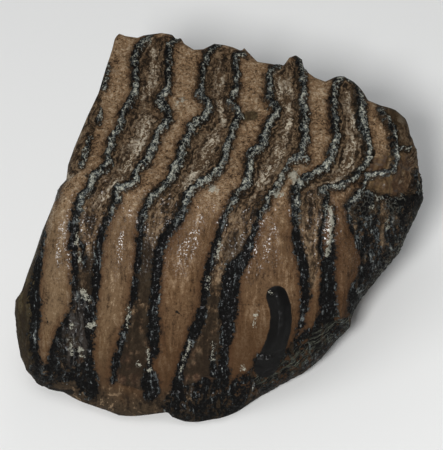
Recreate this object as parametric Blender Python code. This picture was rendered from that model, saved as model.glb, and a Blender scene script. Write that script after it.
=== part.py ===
"""A broken piece of a fossil mammoth molar, lying on its rough underside.

Thin upright plates cross the piece from left to right. Each plate is a wall of
hard enamel on its left and on its right with dentine between, and cement fills
the gaps from one plate to the next. The worn chewing face is on top, and a
smoother broken side slopes down to the front.

The outline and the enamel walls are drawn on a sheet that leans back by TILT:
u runs to the right on it, w runs up it, and d stands out of it to the front.
x, y and z are over the floor from the sheet's zero, and CENTRE_X and CENTRE_Y
are taken off at the end, with everything else turned from millimetres to metres.
"""
import math

import bmesh
import bpy
import numpy as np

MM = 0.001

# ---- driving dimensions, in millimetres and degrees ----
TILT = 40.0            # how far the drawing sheet's normal rises above the floor
SHEET_TAPER = 450.0    # the drawing shrinks towards a point this far in front of it
SHEET_HEIGHT = 28.5    # the sheet's zero above the floor
CENTRE_X = -0.42       # the middle of the piece's box from the sheet's zero
CENTRE_Y = 12.27

BEND = 5.8             # height on the sheet where the chewing face meets the side
BEND_DEPTH = 2.6
CHEWING_SLOPE = 45.0   # the chewing face falls back from the sheet by this angle
SIDE_BOW = 0.0035      # the side curves back by this times the square of the distance
SIDE_CROWN = 0.0022
BACK_DISTANCE = 41.6   # how far behind the sheet's foot the broken back stands
WALL_DRAFT = 0.11      # the broken ends close in by this much for each mm of depth
BASE_HOLLOW = 1.5      # deepest hollow of the underside
HIDDEN_DEPTH = 7.0     # this far behind the front, the broken ends turn rough
ENDS_INSET = 0.9       # their lumps stay inside the outline by this

# Flat faces that cut the front: where each looks, a point on it, and how round its edge is.
FRONT_CUTS = [
    ((0.62, -0.30, 0.72), (23.5, 1, 1.0), 3),
    ((0.50, 0.42, 0.76), (24, 14, -5.2), 3),
    ((0.40, -0.62, 0.68), (10, -21.5, -0.2), 3),
    ((-0.35, -0.60, 0.72), (-26, -24.5, -1.6), 3),
    ((-0.75, -0.10, 0.65), (-31.4, -12, -0.4), 1.5),
]
# The same for the faces that cut the back, with x, y and z in place of u, w and d.
BACK_CUTS = [
    ((0.62, 0.74, 0.25), (21, 33, 28.5), 3),
    ((-0.60, 0.72, -0.35), (-21, 38, 24.5), 2),
]
# Lumps of the broken faces: how far apart they are, how high, and a seed.
FRONT_LUMPS = [(9, 0.3, 11)]
END_LUMPS = [(13, 1.0, 12), (5, 0.5, 13)]
BACK_LUMPS = [(11, 1.1, 14), (4.5, 0.6, 15)]
SHIFT_U = [(11, 1.3, 21), (4, 0.5, 22)]
SHIFT_W = [(11, 1.3, 23), (4, 0.5, 24)]

RIDGE = 0.65           # enamel stands proud of the chewing face by this
TROUGH = 0.55          # dentine is worn this deep between its enamel walls
SIDE_GROOVE = 0.30     # enamel lies this deep under the cement on the side
DIGIT_HEIGHT = 0.9     # the little finger of enamel stands out by this
SIDE_TROUGH = 0.15     # and dentine lies this deep there
HIDDEN_SHARE = 0.7     # how much of the ridges the broken back and ends keep
HIDDEN_DROP = 0.1      # how far the whole pattern lies deeper there
RIM = 1.8              # the ridges fade out this far from the outline
FOOT = 1.6             # and this far above the resting face
LEAN = 0.05            # the plates lean to the right by this for each mm of depth

BLOCK_HALF = (34, 29, 18)    # half the sides of the block that is shrunk to the form
BLOCK_HEIGHT = 15.0    # the middle that it shrinks towards, above the floor
REACH = 70.0           # no point of the form is this far from that middle
HALVINGS = 26          # each one halves the stretch that the form's skin is in
GRID = 104             # cuts along each edge of the block
TRIANGLES = 9400
REST_SNAP = 0.08       # points this near the floor are put on it

PLATES = [
    ("plate_1_left", "plate_1_right"),
    ("plate_2_left", "plate_2_right"),
    ("plate_3_left", "plate_3_right"),
    ("plate_4_left", "plate_4_right"),
]

# The outline on the sheet, clockwise from the top left.
OUTLINE = [
    (-17.1, 32.1), (-16, 31.5), (-14, 31.2), (-13, 31.6), (-10, 32.1), (-8.2, 31.7),
    (-7.5, 30.9), (-6.8, 31.2), (-6.2, 30.2), (-4.6, 29.2), (-3, 29.3), (-1.2, 30.2),
    (0.5, 30.0), (2, 29.6), (3.3, 29.0), (3.8, 29.5), (4.7, 28.5), (6, 27.2),
    (8, 26.9), (10.3, 26.5), (11.3, 27.9), (12.4, 28.3), (13.4, 27.6), (13.8, 25.9),
    (15.5, 24.6), (17.3, 23.9), (18.8, 24.6), (20.5, 25.2), (22.3, 24.1), (23.9, 21.7),
    (24.4, 20.8), (26.6, 19.9), (29.1, 19.3), (30.8, 17.9), (31.7, 15), (33.2, 12.8),
    (34, 10.8), (34.1, 8), (33.8, 4), (32.8, 1.5), (31.2, -1.5), (29.7, -4.7),
    (27.4, -7.2), (24.8, -10.2), (23.2, -12), (21.9, -14.2), (21.3, -17), (18.9, -19.2),
    (16.4, -22.2), (13.6, -24.5), (9.8, -26.4), (6.4, -28.5), (3.9, -30.3), (1.7, -31.9),
    (0.1, -33), (-3.6, -33.2), (-6.1, -32.8), (-8.2, -32), (-9, -31.2), (-12.8, -31.7),
    (-17.2, -32.2), (-19.4, -31.3), (-21.5, -30.7), (-23.4, -30.1), (-25.2, -29), (-26.4, -28.1),
    (-28.9, -27.7), (-30.8, -26.3), (-32.7, -24.2), (-33.8, -21.8), (-34.4, -19.1), (-34.9, -14.8),
    (-34.8, -12.5), (-33.5, -10.8), (-32.4, -8), (-31.2, -5), (-29.8, -0.8), (-28.7, 1.8),
    (-27.5, 4.8), (-26.9, 6.5), (-25.9, 7.6), (-25.6, 10), (-24.5, 13), (-22.4, 18),
    (-20.5, 22), (-19.3, 26), (-18.3, 29), (-17.8, 31),
]

# Each enamel wall: its middle line down the sheet, and its width at some heights.
WALLS = {
    "plate_0_right_a": (
        [(-18.9, 26.5), (-19.4, 24.4), (-19.6, 22.9)],
        [(26, 0.8)]),
    "plate_0_right_b": (
        [(-20.2, 18.9), (-20.6, 17)],
        [(18, 0.8)]),
    "plate_0_right_c": (
        [(-21.9, 14.5), (-23, 11), (-23.3, 10)],
        [(12, 0.8)]),
    "plate_0_right_d": (
        [(-27.2, 5.7), (-27.6, 4.3)],
        [(5, 0.6)]),
    "plate_0_right": (
        [(-29.4, -0.6), (-30, -4), (-30.8, -8), (-31.3, -11), (-31.2, -13.5), (-31, -16),
         (-31.4, -18), (-31.3, -20.5), (-30.8, -23), (-29.9, -25.2), (-27.6, -25.9),
         (-25, -25.8), (-23, -25.4)],
        [(0, 0.5), (-8, 1.5), (-13, 2.3), (-16, 1.2), (-20, 1.9), (-24, 1.3), (-26, 1.2)]),
    "plate_1_left": (
        [(-12, 31.5), (-13.3, 30.3), (-14.2, 28.8), (-14.6, 27.5), (-14.4, 25.5),
         (-14.3, 23.2), (-14.5, 21.8), (-15.1, 20.7), (-16, 19.2), (-16.7, 18.1),
         (-16.9, 16.6), (-17.5, 15.4), (-18.4, 14), (-18.7, 12.4), (-19.3, 11.5),
         (-18.9, 10.8), (-19.4, 9.3), (-20.4, 8.8), (-21.6, 8), (-21.5, 7.1),
         (-22.2, 5.9), (-23.5, 4.5), (-24, 2.3), (-24.5, 0.3), (-24.8, -2.7),
         (-24.5, -5), (-24.4, -12), (-24.6, -13.8), (-25.4, -15.3), (-26.3, -16.8),
         (-27.3, -18.6), (-27.9, -20.5), (-28.2, -22.5), (-28.5, -24.6)],
        [(32, 1.2), (8, 1.3), (0, 1.9), (-8, 1.3), (-14, 1.5), (-18, 1.4), (-25, 1.6)]),
    "plate_1_inner": (
        [(-23.6, -2.6), (-23, -5), (-22.8, -7.2)],
        [(-5, 0.6)]),
    "plate_1_neck": (
        [(-22.8, -12.4), (-23.2, -14.2), (-23.9, -16.2)],
        [(-12, 2.6), (-14, 3.4), (-16, 3.6)]),
    "plate_1_right": (
        [(-7.6, 31), (-8.3, 30.3), (-8.9, 29.5), (-8.9, 22.8), (-9.3, 21.9),
         (-10.4, 21.2), (-10.4, 20.5), (-9.6, 19.8), (-8.8, 19), (-8.7, 17.6),
         (-9.4, 16.7), (-10.5, 15.6), (-10.8, 14.3), (-11.6, 12.5), (-12.2, 11.6),
         (-12.3, 10.7), (-13.5, 9.8), (-14.3, 8.7), (-14.4, 7.4), (-15.1, 6.6),
         (-17, 6.4), (-17.8, 5.6), (-17.3, 4), (-18, 3), (-18.8, 1.5), (-19.6, -0.3),
         (-20.3, -2.4), (-20.5, -5), (-20.9, -7.5), (-21.1, -12), (-21.6, -14),
         (-22, -18), (-22.7, -20), (-22.5, -22), (-22, -24), (-21.7, -28)],
        [(32, 1.2), (0, 1.4), (-8, 1.6), (-12, 1.5), (-18, 1.8), (-20, 2.6), (-22, 1.5),
         (-26, 2.0)]),
    "plate_2_left": (
        [(-0.5, 29.9), (-1.5, 29.6), (-2.3, 28.6), (-2.9, 26.8), (-3.3, 24.8),
         (-3.3, 23), (-3.7, 21.6), (-3, 20.9), (-2.2, 20), (-2.2, 18.9), (-3.1, 17.6),
         (-4.6, 17), (-5.2, 16.5), (-5.1, 15.3), (-6, 14.2), (-6.6, 12.8), (-6.8, 11.5),
         (-7.2, 10.3), (-8.1, 9.2), (-8.1, 8.3), (-9, 7), (-10.3, 5.9), (-11.3, 5.1),
         (-12.1, 4), (-12.8, 2.6), (-13.3, 1), (-13.7, -3.5), (-13.9, -6), (-14.3, -8),
         (-14.6, -12), (-15.4, -14), (-15.9, -17), (-17.1, -21), (-18.2, -26)],
        [(30, 1.2), (12, 1.4), (0, 1.5), (-8, 1.2), (-12, 1.3), (-14.5, 0.9), (-18, 1.2),
         (-26, 1.1)]),
    "plate_2_right": (
        [(3.9, 28.4), (3, 28.5), (2.4, 28.3), (2.3, 26.5), (2.5, 24.5), (2.5, 23.2),
         (2.2, 21.9), (1.3, 20.3), (2, 19.7), (2.8, 18.8), (2.8, 17.6), (1.9, 16.2),
         (1.5, 14.3), (0.7, 12.5), (0.3, 11.3), (0.4, 10.5), (-0.2, 9.6), (-1.3, 8.5),
         (-2.5, 7.4), (-3.6, 6.9), (-4.8, 6.1), (-5.6, 5.2), (-6, 4), (-6.2, 3),
         (-6.8, 2), (-8.6, -0.2), (-9.6, -1.4), (-10.3, -2.8), (-10.8, -4.6),
         (-11.1, -8), (-11.4, -13), (-11.4, -19), (-11.3, -21), (-11.9, -22.7),
         (-12.1, -24), (-11.9, -26), (-11.7, -28)],
        [(30, 1.1), (10, 1.3), (4, 1.6), (0, 2.0), (-5, 1.5), (-14, 1.8), (-19, 2.2),
         (-22.7, 1.2), (-24, 1.4), (-26, 3.2), (-28, 3.0)]),
    "plate_3_left": (
        [(9.4, 26.6), (8.6, 26.2), (8, 25.2), (7.9, 23.5), (8.2, 22.3), (7.6, 21.2),
         (8.2, 20.4), (9.3, 19.2), (9.1, 18.2), (7.8, 16.9), (7.3, 15.5), (7.1, 14.3),
         (6.1, 12.8), (5.2, 12), (4.6, 11.2), (4.6, 10.2), (4.3, 7.2), (3.6, 6.1),
         (2.5, 5.3), (2.1, 4.2), (1.3, 2.9), (-0.1, 0), (-0.5, -2), (-1, -4),
         (-2.2, -7.2), (-2.5, -9), (-3, -13), (-3.4, -15), (-4.1, -17), (-5.7, -20.7),
         (-6.4, -22.7), (-7.3, -26.5), (-7.4, -28.5)],
        [(26, 1.2), (12, 1.5), (3, 1.2), (-8, 1.6), (-13, 1.6), (-17, 2.3), (-20, 1.7),
         (-24, 1.6), (-28, 2.4)]),
    "plate_3_right": (
        [(12.9, 27.8), (13.3, 26.5), (13.7, 21.8), (13.2, 20.3), (13.8, 18.7),
         (13.7, 16.5), (14, 14.5), (13.4, 12), (12.8, 11.1), (11.3, 10.3), (10.8, 9.2),
         (10.2, 8.1), (9, 6.3), (8.5, 5.3), (7.6, 4.8), (7.5, 4.1), (7.7, 3.6),
         (7.1, 2.9), (6.3, 2.2), (5.8, 0), (4.9, -2.4), (4.1, -5), (3, -6.4),
         (2.1, -7.6), (1.6, -9), (0.9, -13), (0.7, -18), (0.4, -20), (0.3, -23),
         (0, -26)],
        [(27, 1.4), (13, 1.4), (8, 0.9), (4, 1.2), (-3, 1.5), (-5, 2.0), (-7.5, 3.3),
         (-14, 3.3), (-18, 2.5), (-20, 1.8), (-23, 1.8), (-26, 3.5)]),
    "plate_3_spur": (
        [(12.8, 11.1), (14.4, 10.8)],
        [(11, 1.1)]),
    "plate_3_split": (
        [(-1.4, -20), (-1.5, -22), (-1.2, -25)],
        [(-20, 0.8), (-25, 1.6)]),
    "plate_4_left": (
        [(20.2, 24.8), (19.3, 24.3), (18.8, 22.5), (18.6, 20.3), (18.9, 16),
         (19.1, 14.3), (18.4, 12.5), (18.1, 10.8), (17.4, 9.7), (15.6, 8.5),
         (13.9, 7.5), (12.5, 6.3), (12.1, 4.5), (12, 2), (12.5, -2), (13.1, -4),
         (13.8, -6), (14.1, -10), (14.1, -12), (13.5, -16), (12.3, -19.3)],
        [(25, 1.2), (8, 1.5), (3, 1.6), (-2, 1.5), (-5, 2.1), (-12, 1.7), (-16, 1.1),
         (-19, 0.7)]),
    "plate_4_right": (
        [(21.3, 24.4), (22.3, 23.5), (22.9, 22.4), (23.2, 20.5), (23.2, 18), (23.5, 16),
         (24.2, 14.4), (24.5, 12.5), (24.4, 10.9), (23.3, 9.5), (22.5, 8.6), (22, 7.6),
         (20.5, 7), (19, 6.3), (17.4, 6.3), (16.6, 5.9), (17.6, 4.9), (17.3, 3.2),
         (16.9, 0), (16.5, -3.2), (16.8, -5)],
        [(24, 1.2), (20, 1.8), (16, 1.7), (12, 1.3), (6, 1.1), (3, 1.1), (0, 0.8),
         (-4, 1.2)]),
    "plate_4_right_lower": (
        [(18.6, 3), (18.7, 0), (18.5, -3.4), (17.7, -5.8), (17.8, -8), (17.9, -14),
         (17.6, -16), (16.6, -19)],
        [(3, 0.7), (-3, 0.9), (-5.5, 2.9), (-8, 2.3), (-11, 3.1), (-15, 3.4), (-18, 4)]),
    "plate_5_left": (
        [(26.5, 19.5), (26.8, 18.5), (27.9, 16.8), (28.7, 15.4), (28.7, 11), (28.3, 8.8),
         (27, 8.3), (25, 8.3), (23.7, 8.1), (23.5, 6.2), (22.3, 4.8), (21.1, 3.5),
         (21, 2), (21.6, 0), (23.3, -4), (23.9, -6), (23.7, -8), (22.6, -10.4),
         (22, -12.5), (21.5, -14.5)],
        [(20, 1.0), (6, 1.2), (-6, 1.0), (-8, 1.3), (-11, 2.4), (-14, 1.4)]),
    "plate_5_branch": (
        [(28.7, 12.8), (30, 12.9), (31, 12.6)],
        [(13, 0.8)]),
    "plate_5_rim": (
        [(32.3, 12.5), (33, 11), (32.9, 8), (32.2, 5.5), (31.6, 3.6)],
        [(9, 1.3)]),
    "plate_5_crack": (
        [(24, 5.5), (25, 5), (26.5, 4.7), (28, 4.5)],
        [(5, 0.8)]),
}

# Where cement and dentine have come off and bare enamel is left.
BARE_ENAMEL = [
    [(21.4, 3.2), (24, 5), (26, 4.4), (26.2, -4), (27.4, -4.4), (27.6, 4.2), (31.8, 4.8),
     (34.5, 3), (33, -4), (24, -15.5), (21.2, -15.5), (22.3, -11), (23.6, -6), (22, -1)],
    [(-8.6, -28.4), (-6, -27), (-4.6, -26.6), (-2.3, -25.6), (1.7, -26.4), (3.1, -24.9),
     (4.8, -24.8), (6, -21.5), (11, -20.6), (12.4, -19.4), (14.2, -17.6), (19.4, -15.8),
     (21, -15.6), (22, -18), (10, -28), (0, -34.5), (-8, -34.5), (-9.8, -30)],
]
DIGIT = [(9.2, -11.8), (9.8, -13.6), (9.9, -15.6), (9.7, -17.6), (9.1, -19.5),
         (8.2, -21.6), (7.2, -23.6)]
DIGIT_WIDTH = 3.7

SINE = math.sin(math.radians(TILT))
COSINE = math.cos(math.radians(TILT))


def smoothstep(low, high, value):
    share = np.clip((value - low) / (high - low), 0, 1)
    return share * share * (3 - 2 * share)


def round_max(first, second, radius):
    """The larger of two distances, with a round edge where they meet."""
    share = np.clip(0.5 + 0.5 * (first - second) / radius, 0, 1)
    return second + (first - second) * share + radius * share * (1 - share)


def lumps(x, y, z, size, seed):
    """Smooth lumps from -1 to 1, about size across, the same each time for a seed."""
    table = np.random.default_rng(seed).uniform(-1, 1, 4096)
    cell = [np.floor(axis / size).astype(int) for axis in (x, y, z)]
    part = [axis / size - corner for axis, corner in zip((x, y, z), cell)]
    part = [share * share * (3 - 2 * share) for share in part]
    total = 0
    for corner in range(8):
        step = (corner & 1, corner >> 1 & 1, corner >> 2)
        key = sum((cell[i] + step[i]) * (73, 179, 283)[i] for i in range(3)) % 4096
        weight = 1
        for i in range(3):
            weight = weight * (part[i] if step[i] else 1 - part[i])
        total = total + weight * table[key]
    return total


def rough(x, y, z, sizes):
    """Lumps of several sizes together."""
    return sum(height * lumps(x, y, z, size, seed) for size, height, seed in sizes)


def segment_distance(u, w, start, end):
    """Distance to one straight piece of a line, and how far along it the nearest point is."""
    along_u = end[0] - start[0]
    along_w = end[1] - start[1]
    length = along_u ** 2 + along_w ** 2
    share = np.clip(((u - start[0]) * along_u + (w - start[1]) * along_w) / length, 0, 1)
    return np.hypot(u - start[0] - share * along_u, w - start[1] - share * along_w), share


def band_distance(u, w, path, widths):
    """Distance to the edge of a band along a path, less than 0 inside the band."""
    heights = [-height for height, width in widths]
    halves = [width / 2 for height, width in widths]
    nearest = np.full(u.shape, 1e3)
    for start, end in zip(path, path[1:]):
        distance, share = segment_distance(u, w, start, end)
        at = start[1] + share * (end[1] - start[1])
        nearest = np.minimum(nearest, distance - np.interp(-at, heights, halves))
    return nearest


def area_distance(u, w, outline):
    """Distance to a closed outline, less than 0 inside it."""
    nearest = np.full(u.shape, 1e3)
    inside = np.zeros(u.shape, bool)
    for start, end in zip(outline, outline[1:] + outline[:1]):
        nearest = np.minimum(nearest, segment_distance(u, w, start, end)[0])
        if start[1] != end[1]:
            crossing = start[0] + (w - start[1]) * (end[0] - start[0]) / (end[1] - start[1])
            inside ^= ((start[1] > w) != (end[1] > w)) & (u < crossing)
    return np.where(inside, -nearest, nearest)


def to_sheet(x, y, z):
    """Place on the drawing sheet of a point over the floor."""
    z = z - SHEET_HEIGHT
    d = z * SINE - y * COSINE
    taper = 1 - d / SHEET_TAPER
    return x / taper, (y * SINE + z * COSINE) / taper, d


def face(place, normal, point):
    """Height of a place over a flat face through a point."""
    length = math.sqrt(sum(part * part for part in normal))
    return sum((value - at) * part / length
               for value, at, part in zip(place, point, normal))


def side_depth(u, w):
    return BEND_DEPTH - SIDE_BOW * (BEND - w) ** 2 - SIDE_CROWN * (u + 2) ** 2


def chewing_depth(w):
    return BEND_DEPTH - (w - BEND) * math.tan(math.radians(CHEWING_SLOPE))


def front_depth(u, w):
    return np.minimum(side_depth(u, w), chewing_depth(w))


def form(x, y, z):
    """Height over the piece's plain form: less than 0 inside it."""
    u, w, d = to_sheet(x, y, z)
    slope = math.radians(CHEWING_SLOPE)
    chewing = (w - BEND) * math.sin(slope) + (d - BEND_DEPTH) * math.cos(slope)
    front = round_max(d - side_depth(u, w), chewing, 2.5)
    for normal, point, radius in FRONT_CUTS:
        front = round_max(front, face((u, w, d), normal, point), radius)
    front = front + rough(x, y, z, FRONT_LUMPS)
    behind = np.maximum(front_depth(u, w) - HIDDEN_DEPTH - d, 0)
    ends = area_distance(u, w, OUTLINE) + WALL_DRAFT * behind
    ends = ends + smoothstep(0, 6, behind) * (rough(x, y, z, END_LUMPS) + ENDS_INSET)
    edge = 0.6 + 2.6 * smoothstep(22, 8, w) * smoothstep(10, 26, np.abs(u))
    edge = edge + 0.5 * smoothstep(22, 8, w)
    whole = round_max(front, ends, edge)
    back = y - BACK_DISTANCE + 0.03 * (z - SHEET_HEIGHT) - 0.03 * x
    for normal, point, radius in BACK_CUTS:
        back = round_max(back, face((x, y, z), normal, point), radius)
    back = back + smoothstep(37, 27, z) * rough(x, y, z, BACK_LUMPS)
    whole = round_max(whole, back, 1.2)
    hollow = BASE_HOLLOW * np.maximum(lumps(x, y, z * 0, 10, 16) + 0.1, 0)
    return round_max(whole, hollow - z, 1.0)


def relief(x, y, z):
    """How far the surface stands off the plain form because of the enamel pattern."""
    u, w, d = to_sheet(x, y, z)
    behind = np.maximum(front_depth(u, w) - 4 - d, 0)
    hidden = smoothstep(0, 6, behind)
    u = u - LEAN * behind + hidden * rough(x, y, z, SHIFT_U)
    w = w + hidden * rough(x, y, z, SHIFT_W)
    enamel = np.full(u.shape, 1e3)
    for path, widths in WALLS.values():
        enamel = np.minimum(enamel, band_distance(u, w, path, widths))
    for outline in BARE_ENAMEL:
        enamel = np.minimum(enamel, area_distance(u, w, outline))
    chewing = smoothstep(-2, 7, w)
    band = smoothstep(0.35, -0.45, enamel)
    between = np.zeros(u.shape)
    for left, right in PLATES:
        plate = WALLS[left][0] + WALLS[right][0][::-1]
        between = np.maximum(between, smoothstep(0, -1.0, area_distance(u, w, plate)))
    up = RIDGE * band - TROUGH * between * (1 - band)
    down = -SIDE_GROOVE * band - SIDE_TROUGH * between * (1 - band)
    height = down + (up - down) * chewing
    height = height * smoothstep(-0.2, -RIM, area_distance(u, w, OUTLINE))
    height = height + (HIDDEN_SHARE * up - HIDDEN_DROP - height) * hidden
    digit = band_distance(u, w, DIGIT, [(0, DIGIT_WIDTH)])
    height = height + (DIGIT_HEIGHT + SIDE_GROOVE) * smoothstep(0.2, -1.6, digit) * (1 - hidden)
    return height * smoothstep(0.1, FOOT, z)


def solve(centre, direction):
    """Distance from the centre to the form's skin along each direction."""
    near = np.zeros(len(direction))
    far = np.full(len(direction), REACH)
    for step in range(HALVINGS):
        middle = (near + far) / 2
        point = centre + direction * middle[:, None]
        outside = form(*point.T) > 0
        far = np.where(outside, middle, far)
        near = np.where(outside, near, middle)
    return near


def make_tooth():
    """Shrinks a finely cut block onto the form, then raises the enamel pattern."""
    block = bmesh.new()
    bmesh.ops.create_cube(block, size=2)
    bmesh.ops.subdivide_edges(block, edges=block.edges[:], cuts=GRID, use_grid_fill=True)
    corner = np.array([vertex.co[:] for vertex in block.verts]) * BLOCK_HALF
    direction = corner / np.linalg.norm(corner, axis=1, keepdims=True)
    centre = np.array([CENTRE_X, CENTRE_Y, BLOCK_HEIGHT])
    point = centre + direction * solve(centre, direction)[:, None]
    for vertex, place in zip(block.verts, point):
        vertex.co = place
    block.normal_update()
    normal = np.array([vertex.normal[:] for vertex in block.verts])
    point = point + normal * relief(*point.T)[:, None]
    for vertex, place in zip(block.verts, point - (CENTRE_X, CENTRE_Y, 0)):
        vertex.co = place * MM
    bmesh.ops.triangulate(block, faces=block.faces[:])
    mesh = bpy.data.meshes.new("tooth_fragment")
    block.to_mesh(mesh)
    block.free()
    return mesh


def thin(mesh):
    """Fewer, larger triangles where the surface is plain, and a flat resting face."""
    tooth = bpy.data.objects.new("tooth_fragment", mesh)
    bpy.context.scene.collection.objects.link(tooth)
    decimate = tooth.modifiers.new("fewer triangles", "DECIMATE")
    decimate.ratio = TRIANGLES / len(mesh.polygons)
    bpy.context.view_layer.update()
    seen = tooth.evaluated_get(bpy.context.evaluated_depsgraph_get())
    thinned = bpy.data.meshes.new_from_object(seen)
    tooth.modifiers.clear()
    tooth.data = thinned
    thinned.name = "tooth_fragment"
    for vertex in thinned.vertices:
        if vertex.co.z < REST_SNAP * MM:
            vertex.co.z = 0
    return tooth


def fossil_material():
    material = bpy.data.materials.new("brown fossil tooth")
    material.use_nodes = True
    shader = material.node_tree.nodes["Principled BSDF"]
    shader.inputs["Base Color"].default_value = (0.17, 0.12, 0.08, 1)
    shader.inputs["Roughness"].default_value = 0.55
    shader.inputs["Metallic"].default_value = 0
    return material


for old in list(bpy.data.objects):
    bpy.data.objects.remove(old)
fragment = thin(make_tooth())
fragment.data.materials.clear()
fragment.data.materials.append(fossil_material())
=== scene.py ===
# %% [markdown]
# # A broken piece of a fossil mammoth molar
#
# A mammoth's grinding tooth is a row of thin upright plates. Each plate is a flat loop of
# hard enamel with softer dentine inside it, and cement fills the gaps between the plates.
# Chewing wears the soft parts faster, so the enamel stands up as pairs of crinkled ridges.
# This piece shows that chewing face on top, and a smoother broken side that slopes down to
# the front. Here the whole piece is made as one mesh: first its plain form, then the enamel
# pattern carved into it with Geometry Nodes, and last its finish.

import math

import bmesh
import bpy
import numpy as np
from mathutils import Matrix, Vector


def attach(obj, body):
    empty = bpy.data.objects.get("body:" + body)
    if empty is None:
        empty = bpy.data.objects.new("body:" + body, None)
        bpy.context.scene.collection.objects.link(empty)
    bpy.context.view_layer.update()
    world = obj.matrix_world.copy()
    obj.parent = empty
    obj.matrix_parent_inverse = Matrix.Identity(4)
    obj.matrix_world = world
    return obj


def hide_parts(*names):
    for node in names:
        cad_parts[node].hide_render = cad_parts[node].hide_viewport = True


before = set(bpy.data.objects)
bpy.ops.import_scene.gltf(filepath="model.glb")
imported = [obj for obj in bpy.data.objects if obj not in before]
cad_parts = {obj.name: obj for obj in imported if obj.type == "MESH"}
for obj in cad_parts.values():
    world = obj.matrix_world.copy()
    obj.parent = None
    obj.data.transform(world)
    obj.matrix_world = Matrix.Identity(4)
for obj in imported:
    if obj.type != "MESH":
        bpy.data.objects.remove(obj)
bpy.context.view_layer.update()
NODE = "tooth_fragment"
MM = 0.001

# %% [markdown]
# ## The drawing
#
# Natural forms can be sculpted, scanned or worked out from a drawing. A drawing keeps every
# enamel wall editable, so it is used here. It lies on a sheet that leans back by `TILT`:
# u runs to the right on the sheet, w runs up it, and d stands out of it to the front. All of
# this is in millimetres, with x, y and z measured over the floor from the sheet's zero.

# %% Sizes of the plain form, in millimetres and degrees
TILT = 40.0            # how far the sheet's normal rises above the floor
SHEET_TAPER = 450.0    # the drawing shrinks towards a point this far in front of it
SHEET_HEIGHT = 28.5    # the sheet's zero above the floor
CENTRE_X = -0.42       # the middle of the piece's box from the sheet's zero
CENTRE_Y = 12.27

BEND = 5.8             # height on the sheet where the chewing face meets the side
BEND_DEPTH = 2.6
CHEWING_SLOPE = 45.0   # the chewing face falls back from the sheet by this angle
SIDE_BOW = 0.0035      # the side curves back by this times the square of the distance
SIDE_CROWN = 0.0022
BACK_DISTANCE = 41.6   # how far behind the sheet's foot the broken back stands
WALL_DRAFT = 0.11      # the broken ends close in by this much for each mm of depth
BACK_LEAN = 0.03       # the back leans, and turns, by this much for each mm
BASE_HOLLOW = 1.5      # deepest hollow of the underside
HOLLOW_SIZE = 10
BACK_ROUGHENS = (37, 27)    # over these heights above the floor the back turns rough
BEND_ROUND = 2.5       # how round the bend is, and then the other edges
EDGE_ROUND = 0.6
SHOULDER_ROUND = 2.6
SHOULDER_HEIGHTS = (22, 8)  # over these heights on the sheet the edges turn rounder
SHOULDER_REACH = (10, 26)   # and mostly this far out from the middle
BACK_ROUND = 1.2
FOOT_ROUND = 1.0
HIDDEN_DEPTH = 7.0     # this far behind the front, the broken ends start to turn rough
FADE_DEPTH = 6         # and are rough all over this much farther in
ENDS_INSET = 0.9       # their lumps stay inside the outline by this

# Flat faces that cut the front: where each looks, a point on it, and how round its edge is.
FRONT_CUTS = [
    ((0.62, -0.30, 0.72), (23.5, 1, 1.0), 3),
    ((0.50, 0.42, 0.76), (24, 14, -5.2), 3),
    ((0.40, -0.62, 0.68), (10, -21.5, -0.2), 3),
    ((-0.35, -0.60, 0.72), (-26, -24.5, -1.6), 3),
    ((-0.75, -0.10, 0.65), (-31.4, -12, -0.4), 1.5),
]
# The same for the faces that cut the back, with x, y and z in place of u, w and d.
BACK_CUTS = [
    ((0.62, 0.74, 0.25), (21, 33, 28.5), 3),
    ((-0.60, 0.72, -0.35), (-21, 38, 24.5), 2),
]
# Lumps of the broken faces: how far apart they are, how high, and a seed.
FRONT_LUMPS = [(9, 0.3, 11)]
END_LUMPS = [(13, 1.0, 12), (5, 0.5, 13)]
BACK_LUMPS = [(11, 1.1, 14), (4.5, 0.6, 15)]
SHIFT_U = [(11, 1.3, 21), (4, 0.5, 22)]
SHIFT_W = [(11, 1.3, 23), (4, 0.5, 24)]
LEAN = 0.05            # the plates lean to the right by this for each mm of depth
RIM = 1.8              # the ridges fade out this far from the outline

SINE = math.sin(math.radians(TILT))
COSINE = math.cos(math.radians(TILT))

# %% [markdown]
# ## The outline and the enamel walls
#
# The outline is the edge of the piece on the sheet. It has points only where it turns. Each
# wall is the middle line of one enamel band, drawn down the sheet, with the band's width at a
# few heights. Two walls make one plate: dentine lies between its left wall and its right.

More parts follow.
